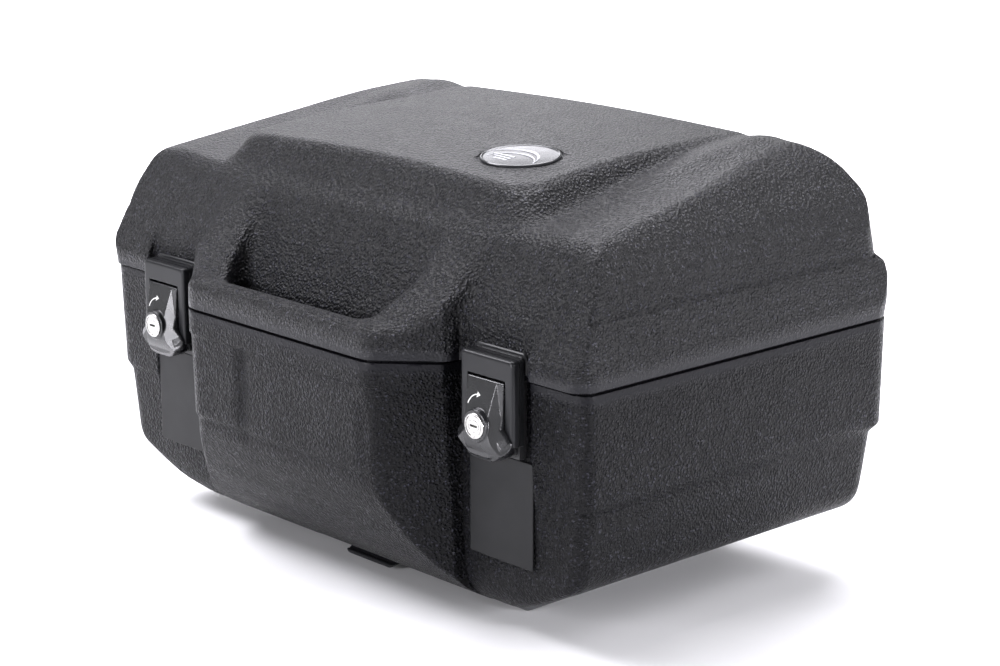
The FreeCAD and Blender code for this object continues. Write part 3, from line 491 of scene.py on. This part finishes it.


# lid and base are one plastic; the base's copy is painted darker (gain 0.95 against 1.15) and less glossy (specular
# 0.13 against 0.22) as painted shade for its lower walls
M_ABS = grained("pebbled_black_plastic", 0.22, 1.15)
M_ABS_BASE_SHADED = grained("pebbled_black_plastic_base_shaded", 0.13, 0.95)
M_SATIN = satin("satin_black_plastic", (0.0085, 0.0088, 0.0098), (0.0115, 0.0119, 0.0132), 0.30, 0.36, spec=0.2)
M_PLATE = satin("channel_plate_plastic", (0.0048, 0.0050, 0.0056), (0.0070, 0.0073, 0.0080), 0.40, 0.47, spec=0.2)
M_DOCK = satin("dock_black_plastic", (0.010, 0.010, 0.011), (0.020, 0.020, 0.021), 0.5, 0.62, 0.0001, 500.0)
M_SKID = satin("skid_grey_plastic", (0.040, 0.041, 0.043), (0.062, 0.063, 0.066), 0.42, 0.52, 0.00008, 600.0)
M_RUBBER = satin("seal_rubber", (0.007, 0.007, 0.007), (0.014, 0.014, 0.014), 0.6, 0.75, 0.0001, 700.0)
M_STEEL = brushed("zinc_steel", (0.42, 0.42, 0.41), (0.62, 0.62, 0.60), 0.28, 0.42)
M_BOLT = brushed("bolt_steel", (0.30, 0.30, 0.31), (0.45, 0.45, 0.46), 0.34, 0.46, axis=1)
M_HINGE = satin("black_powder_coat", (0.012, 0.012, 0.013), (0.020, 0.020, 0.021), 0.40, 0.5, 0.00012, 1100.0)
M_NICKEL = brushed("satin_nickel", (0.44, 0.435, 0.42), (0.56, 0.555, 0.54), 0.22, 0.34, axis=2, stretch=12.0)
M_BADGE = satin("badge_dark_grey", (0.020, 0.021, 0.023), (0.032, 0.033, 0.036), 0.20, 0.27)
M_LEVER = satin("lever_black_plastic", (0.0080, 0.0083, 0.0092), (0.0115, 0.0119, 0.0132), 0.24, 0.30)
M_ORNAMENT = brushed("ornament_silver", (0.26, 0.265, 0.28), (0.37, 0.375, 0.39), 0.30, 0.40, axis=0, stretch=24.0)
M_MARK = satin("white_mark", (0.62, 0.62, 0.60), (0.74, 0.74, 0.72), 0.4, 0.5)
M_FLOOR = satin("floor_white", (0.93, 0.93, 0.93), (0.96, 0.96, 0.96), 0.7, 0.8, 0.00001, 40.0)

# ------------------------------------------------------------------ case shells
T = 4.2                 # wall

Z_HW = soft([(-210, 276.0), (-145, 281.5), (-95.5, 286.4), (-88, 292.0), (0, 293.2)], 1.3)
Z_HW_SIDE = soft([(-210, 276.0), (-145, 281.5), (-97.5, 286.4), (-86, 292.0), (0, 293.2)], 2.2)
Z_YF = soft([(-210, -148.5), (-145, -152.0), (-94, -154.5), (-88.5, -158.5), (0, -159.8)], 0.8)
Z_YR = soft([(-210, 180.0), (-145, 185.5), (-94, 190.5), (-88.5, 196.0), (0, 196.5)], 0.9)
Z_BAY = soft([(-210, 9.0), (-94, 7.0), (-88.5, 3.2), (-22.5, 2.2), (-20.0, 0.0), (0, 0.0)], 0.7)
Z_DIAG = soft([(-210, 13.0), (-160, 10.5), (-94, 6.5), (-88.5, 4.2), (-30, 2.2), (-22.5, 1.8), (-20.0, 0.0), (0, 0.0)], 0.8)
FRONT_LOW = [(-111.5, 10), (-129.5, 19), (-143.5, 32), (-149.3, 46), (-150.9, 55), (-151.8, 75)]
REAR_LOW = [(186.5, 70), (181, 55), (173.5, 46), (161.5, 32), (151.5, 19), (141.5, 10)]
BAY_LOW = [(-111.5, 9.8), (-119, 12.8), (-142.5, 26), (-164, 45), (-180.5, 68), (-194, 93), (-203.9, 118)]


def bay_plan(x, y, s, d, r=22.0):
    """Plan of the front bay: front face, two slanted faces, parallel sides. s and d set the faces back."""
    ax = np.abs(x)
    front = -208.38 + s - y
    slant = edge(ax, y - d, (155, -168), (112, -208.38))
    return rint(rint(front, slant, r, 43), ax - 155.0, 3.5, 47)


def base_outer(x, y, z):
    """Outside of the base, open upwards."""
    zs = z - SEAM
    ax = np.abs(x)
    side = np.clip((ax - 262.0) / 20.0, 0, 1) * np.clip((150.0 - np.abs(y - 20)) / 20.0, 0, 1)
    hw = Z_HW(zs) * (1 - side) + Z_HW_SIDE(zs) * side
    rf = np.interp(zs, (-145, -90), (16.0, 16.5)).astype(x.dtype)
    rr = np.interp(zs, (-145, -90), (24.0, 25.0)).astype(x.dtype)
    f = plan(x, y, hw, Z_YF(zs), Z_YR(zs), rf, rr)
    low = rint(10.0 - z, (10 + 0.47 * (ax - 180.0) - z) / 1.105, 14.0, 25)
    fr = chain(y, z, FRONT_LOW, 30.0)
    re = chain(y, z, REAR_LOW, 40.0)
    low = rint(low, re, 14.0, 50)
    low = rint(low, fr, 14.0, 50)
    f = rint(f, low, 22.0, 65)
    # latch channels: flat recesses in the front, left and right of the bay
    chan = rint(rint(np.abs(ax - 195.5) - 40.5, y + 149.5, 1.2), 60.0 - z, 1.0)
    f = rsub(f, chan, 0.8)
    # front bay, full height
    b = bay_plan(x, y, Z_BAY(zs), Z_DIAG(zs))
    b = rint(b, chain(y, z, BAY_LOW, 60.0), 7.0, 50)
    b = rint(b, y + 60.0, 0.0)
    # soft vertical crease on the front face, left of the middle
    crease = np.exp(-((x + 46.0) / 7.0) ** 2) * np.clip((-18.0 - zs) / 10.0, 0, 1) * np.clip((zs + 108.0) / 40.0, 0, 1)
    crease2 = np.exp(-((x - 104.0) / 6.0) ** 2) * np.clip((-30.0 - zs) / 10.0, 0, 1) * np.clip((zs + 118.0) / 40.0, 0, 1)
    b = b + 2.2 * crease + 1.2 * crease2
    return runi(f, b, 1.5)


def base_cuts(x, y, z):
    ax = np.abs(x)
    top = chain(ax, z, [(20, 21.5), (40, 21.5), (49, 20), (55, 15), (55, 0)], 6.0)
    arch = rint(rint(top, -170.0 - y, 0), y + 104.0, 0)
    rel = rint(ax - 36.0, np.abs(y + 92.0) - 14.0, 2.0)
    rel = rint(rel, z - 30.0, 0)
    bolt = rint(ax - 15.0, np.abs(y + 32.0) - 12.0, 2.0)
    bolt = rint(bolt, z - 30.0, 0)
    holes = np.hypot(ax - 75.0, np.abs(y - 50.0) - 50.0) - 3.3
    holes = rint(holes, z - 30.0, 0)
    return np.minimum(np.minimum(arch, rel), np.minimum(bolt, holes))


def base_field(x, y, z):
    out = base_outer(x, y, z)
    g = base_outer(x, y, np.full_like(z, 205.0))
    body = rint(out, z - (SEAM - 1.2), 0.7)
    inner = np.maximum(out + T, -z + 14.0)
    # flange under the rim and the upstand that carries the seal
    shell = np.maximum(body, -inner)
    flange = rint(np.maximum(g + 0.5, -(g + 9.0)), np.abs(z - 207.0) - 3.8, 0.0)
    up = rint(np.abs(g + 7.2) - 2.0, np.abs(z - 209.0) - 9.0, 0.6)
    f = np.minimum(np.minimum(shell, flange), up)
    return np.maximum(f, -base_cuts(x, y, z))


L_HW = soft([(-30, 291.6), (0, 292.6), (16, 294.45), (35, 294.45), (44.5, 291.8), (51.0, 285.6), (95, 280.5), (150, 263.5)], 1.0)
L_YF = soft([(0, -159.4), (20, -160.4), (33, -159.6), (45.5, -158.2), (50.5, -152.5), (150, -152.5)], 0.8)
L_YR = soft([(0, 196.5), (20, 197.0), (33, 196.8), (45, 195.6), (51.0, 190.0), (95, 184.5), (150, 168.5)], 1.1)
SH_TOP = soft([(-160, 92), (-124, 98), (-86, 104), (18, 120.5), (84, 133), (134, 137.5), (152, 136), (170, 122), (185, 94), (200, 56)], 6.0)
ROOF_TOP = soft([(-160, 125.0), (-102, 129.5), (-60, 133.8), (-10, 137.6), (40, 140.2), (90, 141.25), (152, 141.25), (172, 126), (185, 96), (200, 52)], 5.5)


def height(field_z, dzdy):
    return field_z / np.sqrt(1 + dzdy * dzdy)


def scoop(x, y, z):
    """Finger opening behind the carrying handle."""
    zs = z - SEAM
    front = -188.2 - y
    floor = 5.0 - zs
    side = (np.abs(x) - (90.0 + 0.5 * (y + 188.5))) / 1.118
    f = rint(front, side, 26.0, 63)
    return rint(f, floor, 6.0)


def lid_outer(x, y, z):
    """Outside of the lid, open downwards."""
    zs = z - SEAM
    ax = np.abs(x)
    walls = plan(x, y, L_HW(zs), L_YF(zs), L_YR(zs), np.float32(16.5), np.float32(25.0))
    dome = chain(ax, zs, [(215, 146), (248, 126), (270, 98), (283, 72), (291, 30)], 60.0)
    # shoulders
    sh = SH_TOP(y)
    back = np.clip((y + 100.0) / 120.0, 0, 1)
    ridge = (3.2 - 1.6 * back) * np.exp(-((ax - 238.0) / 28.0) ** 2) + (0.8 + 2.4 * back) * np.exp(-((ax - 196.0) / 18.0) ** 2)
    slope = (SH_TOP(y + 2) - SH_TOP(y - 2)) / 4.0
    shoulder = height(zs - sh - ridge, slope)
    p2 = edge(y, zs, (-158.5, 18), (-124, 98))
    low = rint(shoulder, p2, 18.0, 60)
    # raised roof with its slanted flanks
    rslope = (ROOF_TOP(y + 2) - ROOF_TOP(y - 2)) / 4.0
    top = height(zs - ROOF_TOP(y) + 1.6e-4 * x * x, rslope)
    flank = edge(ax, zs, (169, 130), (192, 97))
    p1 = edge(y, zs, (-158.5, 18), (-102, 127))
    roof = rint(rint(p1, flank, 44.0, 60), top, 14.0, 55)
    f = runi(low, roof, 16.0, 50)
    f = rint(f, dome, 20.0, 40)
    f = rint(f, walls, 8.0, 30)
    # latch channels
    chan = rint(np.abs(ax - 195.5) - 40.5, y + 152.0, 1.2)
    f = rsub(f, chan, 3.0)
    # handle block
    b = bay_plan(x, y, 0.0 * x, 0.0 * x)
    bar = zs - 25.8
    rise = edge(y, zs, (-188.5, 26), (-128.0, 78.0))
    hb = rint(b, runi(bar, rise, 22.0, 41), 9.5)
    hb = rint(hb, y + 96.0, 0.0)
    hb = rsub(hb, scoop(x, y, z), 8.5)
    return runi(f, hb, 13.0)


BX, BY = 103.0, -40.0


def roof_at(x, y):
    return SEAM + float(ROOF_TOP(np.array([y], np.float32))[0]) - 1.6e-4 * x * x


BADGE = np.array([BX, BY, roof_at(BX, BY)])
B_W = np.array([-(roof_at(BX + 5, BY) - roof_at(BX - 5, BY)) / 10, -(roof_at(BX, BY + 5) - roof_at(BX, BY - 5)) / 10, 1.0])
B_W /= np.linalg.norm(B_W)
B_U = np.array([1.0, 0.0, -B_W[0] / B_W[2]])
B_U /= np.linalg.norm(B_U)
B_V = np.cross(B_W, B_U)


def badge_frame(x, y, z):
    """Position in the badge's own frame: right, back, and height over the roof."""
    p = (x - BADGE[0], y - BADGE[1], z - BADGE[2])
    return tuple(p[0] * a[0] + p[1] * a[1] + p[2] * a[2] for a in (B_U, B_V, B_W))


def lid_field(x, y, z):
    out = lid_outer(x, y, z)
    body = rint(out, SEAM + 1.2 - z, 0.7)
    inner = out + T
    f = np.maximum(body, -inner)
    u, v, w = badge_frame(x, y, z)
    rec = np.maximum(np.hypot(u, v) - 34.5, -1.4 - w)
    return np.maximum(f, -rec)


SHELL_H = 2.4
piece("base_shell_moulded", base_field, (-296.3, -212.3, 6.1), (296.3, 200.5, 223.0), SHELL_H, M_ABS_BASE_SHADED, "base",
      ["base_shell"])
piece("lid_shell_moulded", lid_field, (-298.3, -212.3, 210.1), (298.3, 201.5, 359.0), SHELL_H, M_ABS, "lid",
      ["lid_shell"])


def seal_field(x, y, z):
    g = base_outer(x, y, np.full_like(z, 205.0))
    return rint(np.abs(g + 7.0) - 2.3, np.abs(z - 219.4) - 1.6, 1.2)


piece("rim_seal_rubber", seal_field, (-294.0, -210.0, 215.0), (294.0, 198.0, 223.0), 1.6, M_RUBBER, "base",
      ["rim_seal"])

# ------------------------------------------------------------------ latches
LX = 202.2
LOCK_Z = 176.0


def shield_parts(u, z):
    """Lower rounded outline and upper slanted edges of the lever's wide lower end."""
    au = np.abs(u)
    slant = -edge(au, z, (12.0, 148.3), (28.5, 160.0))
    low = rint(rint(au - 28.5, slant, 9.0, 50), 148.3 - z, 16.0, 35)
    up = -edge(au, z, (28.5, 166.0), (19.6, 175.6))
    return low, up


def lever_front(u, y, z):
    """Signed distance to the lever's sculpted front: window plate, shield and the raised wedge."""
    au = np.abs(u)
    low, up = shield_parts(u, z)
    plate = 168.6 + (209.6 - z) * 0.0838
    shield = 175.0 - 0.03 * (166.0 - z)
    shield = np.minimum(shield, 170.8 - 0.62 * up)
    base = np.where(z > 176.0, plate, np.maximum(plate, shield))
    base = np.where(au > 19.6, shield, base)
    base = np.minimum(base, 169.6 - 1.3 * low)
    ridge = 168.4 + (210.0 - z) * 0.285
    bulge = 178.0
    foot = 171.0 + (z - 148.0) * 0.5
    left = 170.2 + (u + 17.6 + (z - 180.0) * 0.02) * 1.7
    right = -0.56 * u - 0.2354 * z + 224.75
    w = -rint(-ridge, -bulge, 20.0, 16)
    w = -rint(-w, -foot, 10.0, 40)
    w = -rint(-w, -left, 1.2, 60)
    w = -rint(-w, -right, 0.7, 45)
    d = -y
    f = (d - np.maximum(base, w)) * 0.74
    boss = rint(np.hypot(u, z - LOCK_Z) - 12.3, d - 179.6, 1.0)
    boss = np.maximum(boss, 166.0 - d)
    return runi(f, boss, 1.6, 60)


def lever_field(u, y, z):
    au = np.abs(u)
    low, up = shield_parts(u, z)
    d = -y
    top2 = rint(np.maximum(au - 19.6, 150.0 - z), z - 209.6, 0.8)
    shield = rint(low, up, 0.8, 45)
    front = lever_front(u, y, z)
    web = np.maximum(top2, 159.5 - d)
    web = np.maximum(web, edge(y, z, (-163.0, 148.0), (-160.0, 152.0)) * -1.0)
    web = np.maximum(web, low)
    flare = np.maximum(shield, 168.6 - d)
    f = rint(np.minimum(web, flare), front, 0.9)
    f = np.maximum(f, -np.maximum(np.maximum(au - 16.4, d - 167.2), np.maximum(156.0 - z, z - 212.0)))
    f = np.maximum(f, -(np.hypot(u, z - LOCK_Z) - 10.25))
    f = np.maximum(f, -(np.hypot(y + 161.5, z - 205.5) - 2.2))
    return np.maximum(f, -(np.hypot(y + 161.5, z - 189.5) - 1.9))


def hasp_field(u, y, z):
    au = np.abs(u)
    d = -y
    outline = rint(rint(au - 28.5, z - 227.5, 3.2), 162.0 - z, 0.8)
    f = rint(outline, d - 167.9, 2.6)
    f = np.maximum(f, 156.1 - d)
    f = np.maximum(f, -np.maximum(np.abs(d - 161.3) - 0.6, -(outline + 0.9)))
    f = np.maximum(f, -np.maximum(np.maximum(au - 24.5, d - 164.9), z - 224.6))
    f = rsub(f, rint(au - 20.2, z - 211.4, 0.5), 0.5)
    hole = np.maximum(np.hypot(y + 161.5, z - 189.5) - 2.1, au - 27.3)
    return np.maximum(f, -hole)


def lock_field(u, y, z):
    d = -y
    r = np.hypot(u, z - LOCK_Z)
    f = rint(r - 10.0, d - 180.9, 0.9)
    f = np.maximum(f, 164.0 - d)
    f = np.minimum(f, np.maximum(r - 3.9, np.abs(d - 164.0) - 3.0))
    f = np.maximum(f, -np.maximum(np.abs(r - 8.1) - 0.45, 180.1 - d))
    f = np.maximum(f, -np.maximum(r - 7.7, 180.6 - d))
    # key slot with a drop-shaped guard round it
    slot = slab(u, y, z - LOCK_Z, (-3.9, -190.0, -0.9), (3.9, -176.5, 0.9), 0.6)
    eye = rint(np.abs(np.hypot(u, (z - LOCK_Z) * 1.25) - 5.6) - 0.28, 180.25 - d, 0.0)
    return np.maximum(np.maximum(f, -slot), -eye)


def mark_field(u, y, z):
    """White quarter arc with an arrow head, printed on the lever above the lock."""
    cu, cz, r = -4.2, 189.0, 8.6
    a = np.arctan2(z - cz, u - cu)
    arc = np.maximum(np.abs(np.hypot(u - cu, z - cz) - r) - 0.42, np.abs(a - math.radians(132)) * r - math.radians(42) * r)
    tip_u, tip_z = cu + 2.6, cz + r
    head = rint(rint(np.abs(z - tip_z) - (tip_u - u) * 0.62, -(u - tip_u + 3.4), 0.0), u - tip_u, 0.0)
    return np.maximum(np.minimum(arc, head), np.abs(lever_front(u, y, z)) - 0.22)


def both(name, field, lo, hi, h, mat, bodies, nodes=()):
    """The same latch piece on the right and on the left."""
    v, f = contour(field, lo, hi, h)
    for side, sx, body in (("right", 1, bodies[0]), ("left", -1, bodies[1])):
        ob = to_object(side + "_" + name, v + np.array([sx * LX, 0, 0]), f, mat, 35)
        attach(ob, body)
        if nodes:
            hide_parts(*[side + "_" + n for n in nodes])


FINE = 0.55
both("hasp_frame", hasp_field, (-30.1, -169.9, 160.1), (30.1, -154.3, 229.5), FINE, M_SATIN, ("right_hasp", "left_hasp"),
     ["hasp"])
both("lever_face", lever_field, (-30.1, -181.7, 146.1), (30.1, -157.5, 211.5), FINE, M_LEVER, ("right_latch", "left_latch"),
     ["lever"])
both("lock_face", lock_field, (-11.1, -182.1, 164.9), (11.1, -159.9, 187.1), 0.4, M_NICKEL, ("right_lock", "left_lock"),
     ["lock_cylinder"])
both("turn_mark", mark_field, (-14.2, -181.0, 187.0), (1.2, -167.0, 200.2), 0.22, M_MARK, ("right_latch", "left_latch"))

for side, sx in (("right", 1), ("left", -1)):
    shape = rounded_outline([(-28.3, 214.5), (28.3, 214.5), (28.3, 231.0), (-28.3, 231.0)], [1.0, 1.0, 5.0, 5.0])
    prism(side + "_catch_plate", shape,
          [(0.3, 152.0), (0.0, 152.3), (0.0, 153.2), (0.8, 153.9), (2.4, 154.0), (2.7, 154.9), (3.3, 155.3)],
          lambda a, b, h, c=sx * LX: (c + a, -h, b), M_SATIN, "lid", [side + "_catch"])
    lo, hi = (-36.4, 33.0) if sx > 0 else (-33.0, 36.4)
    shape = rounded_outline([(lo, 64.0), (hi, 64.0), (hi, 147.5), (lo, 147.5)], 1.5)
    prism(side + "_channel_panel", shape, bevel(149.5, 151.5, 0.7), lambda a, b, h, c=sx * LX: (c + a, -h, b), M_PLATE,
          "base", [side + "_channel_plate"])
    shape = rounded_outline([(-103, 9.9), (-101.5, 4.5), (-94, 0.0), (113, 0.0), (120.5, 4.5), (122, 9.9)], [1, 3, 6, 6, 3, 1])
    prism(side + "_skid_pad", shape, bevel(-13.0, 13.0, 2.2), lambda a, b, h, c=sx * 158.0: (c + h, a, b), M_SKID, "base",
          [side + "_skid"])


# ------------------------------------------------------------------ badge
def on_badge(a, b, h):
    return tuple(BADGE + B_U * a + B_V * b + B_W * h)


def circle(r, n=96):
    t = np.arange(n) * 2 * math.pi / n
    d = np.stack([np.cos(t), np.sin(t)], -1)
    return d * r, d


prism("badge_disc", circle(32.0), [(1.2, -1.5), (0.4, -1.3), (0.0, -0.9), (0.0, 0.5), (0.4, 1.0), (1.1, 1.2), (1.9, 0.9), (2.4, 0.55),
                                   (10.0, 0.95), (20.0, 1.2), (28.0, 1.3)], on_badge, M_BADGE, "lid", ["badge"], 25)


def figure_field(u, v, w):
    """Plain raised ornament inside the badge's rim: two sweeping bands and three short bars."""
    r = np.hypot(u, v)
    sweep = np.abs(np.hypot(u + 2.0, v + 16.0) - 27.0) - 1.9 * np.clip(1.35 - np.abs(u + 2.0) / 22.0, 0.2, 1.3)
    sweep2 = np.abs(np.hypot(u - 4.0, v + 24.0) - 25.5) - 1.3 * np.clip(1.3 - np.abs(u - 4.0) / 20.0, 0.2, 1.3)
    bars = np.minimum(np.minimum(np.maximum(np.abs(u + 9.0) - 11.5, np.abs(v + 9.0) - 1.3),
                                 np.maximum(np.abs(u + 7.0) - 9.5, np.abs(v + 13.5) - 1.3)),
                      np.maximum(np.abs(u + 4.5) - 7.0, np.abs(v + 18.0) - 1.3))
    f = np.minimum(np.minimum(sweep, sweep2), bars)
    f = np.maximum(f, r - 26.8)
    crown = 1.3 - 0.75 * (r / 30.0) ** 2
    return rint(f, np.abs(w - crown) - 0.32, 0.12)


v_fig, f_fig = contour(figure_field, (-29.1, -29.1, -1.1), (29.1, 29.1, 2.7), 0.45)
v_fig = BADGE + v_fig[:, :1] * B_U + v_fig[:, 1:2] * B_V + v_fig[:, 2:] * B_W
fig = to_object("badge_ornament", v_fig, f_fig, M_ORNAMENT, 35)
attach(fig, "lid")


# ------------------------------------------------------------------ release lever
def release_field(x, y, z):
    ax = np.abs(x)
    line = [(-92, 29), (-99.3, 28.6), (-102.6, 20), (-103.3, 12), (-105.6, 6.2), (-110.6, 3.9), (-112.6, 4.1)]
    sheet = strip(y, z, line) - 1.85
    corner = ((ax - 30.0) - (z - 2.0)) * 0.707 + 3.0
    sheet = rint(sheet, rint(ax - 30.0, corner, 3.0, 45), 1.2)
    rib = np.abs(ax - 24.0) - 1.3
    web = np.maximum(rib, np.maximum(strip(y, z, [(-95, 25), (-101, 12), (-104, 7)]) - 2.6, -102.0 - y))
    sheet = runi(sheet, web, 1.0)
    barrel = rint(np.hypot(y + 92.0, z - 28.0) - 5.0, ax - 30.0, 0.7)
    arm = slab(x, y, z, (-5, -94, 31), (5, -90, 44), 0.8)
    f = runi(runi(sheet, barrel, 1.5), arm, 1.0)
    return np.maximum(f, -(np.hypot(y + 92.0, z - 28.0) - 2.15))


piece("release_flap", release_field, (-31.5, -115.5, 0.9), (31.5, -85.5, 46.0), 0.7, M_SATIN, "release",
      ["release_lever"], 35)

# ------------------------------------------------------------------ carried-over CAD nodes
KEEP = {
    M_HINGE: ["hinge_base_screws", "hinge_lid_screws", "latch_bracket_screws", "catch_screws", "left_hinge_base_leaf", "right_hinge_base_leaf", "left_hinge_lid_leaf", "right_hinge_lid_leaf"],
    M_STEEL: ["left_hinge_pin", "right_hinge_pin", "left_lever_pin", "right_lever_pin", "release_pin", "release_spring",
              "dock_plate_screws", "cover_screws", "skid_screws", "left_hasp_pins", "right_hasp_pins", "left_lock_cam", "right_lock_cam"],
    M_BOLT: ["locking_bolt"],
    M_DOCK: ["dock_plate", "mechanism_cover", "left_latch_bracket", "right_latch_bracket"],
}
for mat, names in KEEP.items():
    for n in names:
        ob = NODES[n]
        ob.data.materials.clear()
        ob.data.materials.append(mat)

# ------------------------------------------------------------------ floor, light, camera
bpy.ops.mesh.primitive_plane_add(size=30, location=(0, 0, 0))
floor = bpy.context.object
floor.name = "studio_floor"
floor.data.materials.append(M_FLOOR)

world = bpy.data.worlds.new("studio")
bpy.context.scene.world = world
world.use_nodes = True
bg = world.node_tree.nodes["Background"]
bg.inputs[0].default_value = (1.0, 1.0, 1.0, 1)
# a white cyclorama low down, a dim room above it
wt = world.node_tree
way = node(wt, "ShaderNodeTexCoord")
way_xyz = node(wt, "ShaderNodeSeparateXYZ")
link(wt, way.outputs["Generated"], way_xyz.inputs[0])
link(wt, map_range(wt, way_xyz.outputs[2], 0.10, 0.26, 0.92, 0.20), bg.inputs[1])

CAM_AZ = math.radians(47.2)
TARGET = Vector((-0.0002, 0.0335, 0.17005))


def lamp(name, azimuth, elevation, distance, size, power, size_y=None, aim=None):
    """Area light aimed at the case; azimuth is measured from the camera's, positive to its right."""
    a = CAM_AZ + math.radians(azimuth)
    e = math.radians(elevation)
    pos = TARGET + Vector((math.sin(a) * math.cos(e), -math.cos(a) * math.cos(e), math.sin(e))) * distance
    data = bpy.data.lights.new(name, "AREA")
    data.energy = power
    data.color = (0.95, 0.94, 1.0)
    data.size = size
    if size_y:
        data.shape = "RECTANGLE"
        data.size_y = size_y
    ob = bpy.data.objects.new(name, data)
    bpy.context.scene.collection.objects.link(ob)
    ob.location = pos
    ob.rotation_euler = (Vector(aim or TARGET) - pos).to_track_quat("-Z", "Y").to_euler()
    return ob


lamp("top_softbox", 168, 62, 2.6, 2.2, 140, 1.8)
lamp("backdrop_lamp", 180, 40, 2.6, 3.0, 120, 1.4, aim=(-2.6, 2.45, 0.0))
lamp("front_fill", -97, 46, 2.4, 1.4, 74, 0.9)
lamp("side_fill", 92, 30, 2.4, 1.2, 24, 1.0)
lamp("left_strip", -52, 8, 2.6, 0.2, 46, 1.0)
lamp("right_strip", 48, 8, 2.6, 0.2, 56, 1.0)
lamp("rear_softbox", 188, 20, 3.2, 1.6, 14, 0.8)

cam_data = bpy.data.cameras.new("camera")
cam_data.lens = 91.44
cam_data.sensor_width = 36
cam_data.clip_end = 100
cam = bpy.data.objects.new("camera", cam_data)
cam.location = (1.5264, -1.3802, 0.71205)
cam.rotation_euler = (math.radians(75.4), 0, math.radians(47.2))
bpy.context.scene.collection.objects.link(cam)
bpy.context.scene.camera = cam
bpy.context.scene.view_settings.view_transform = "Standard"
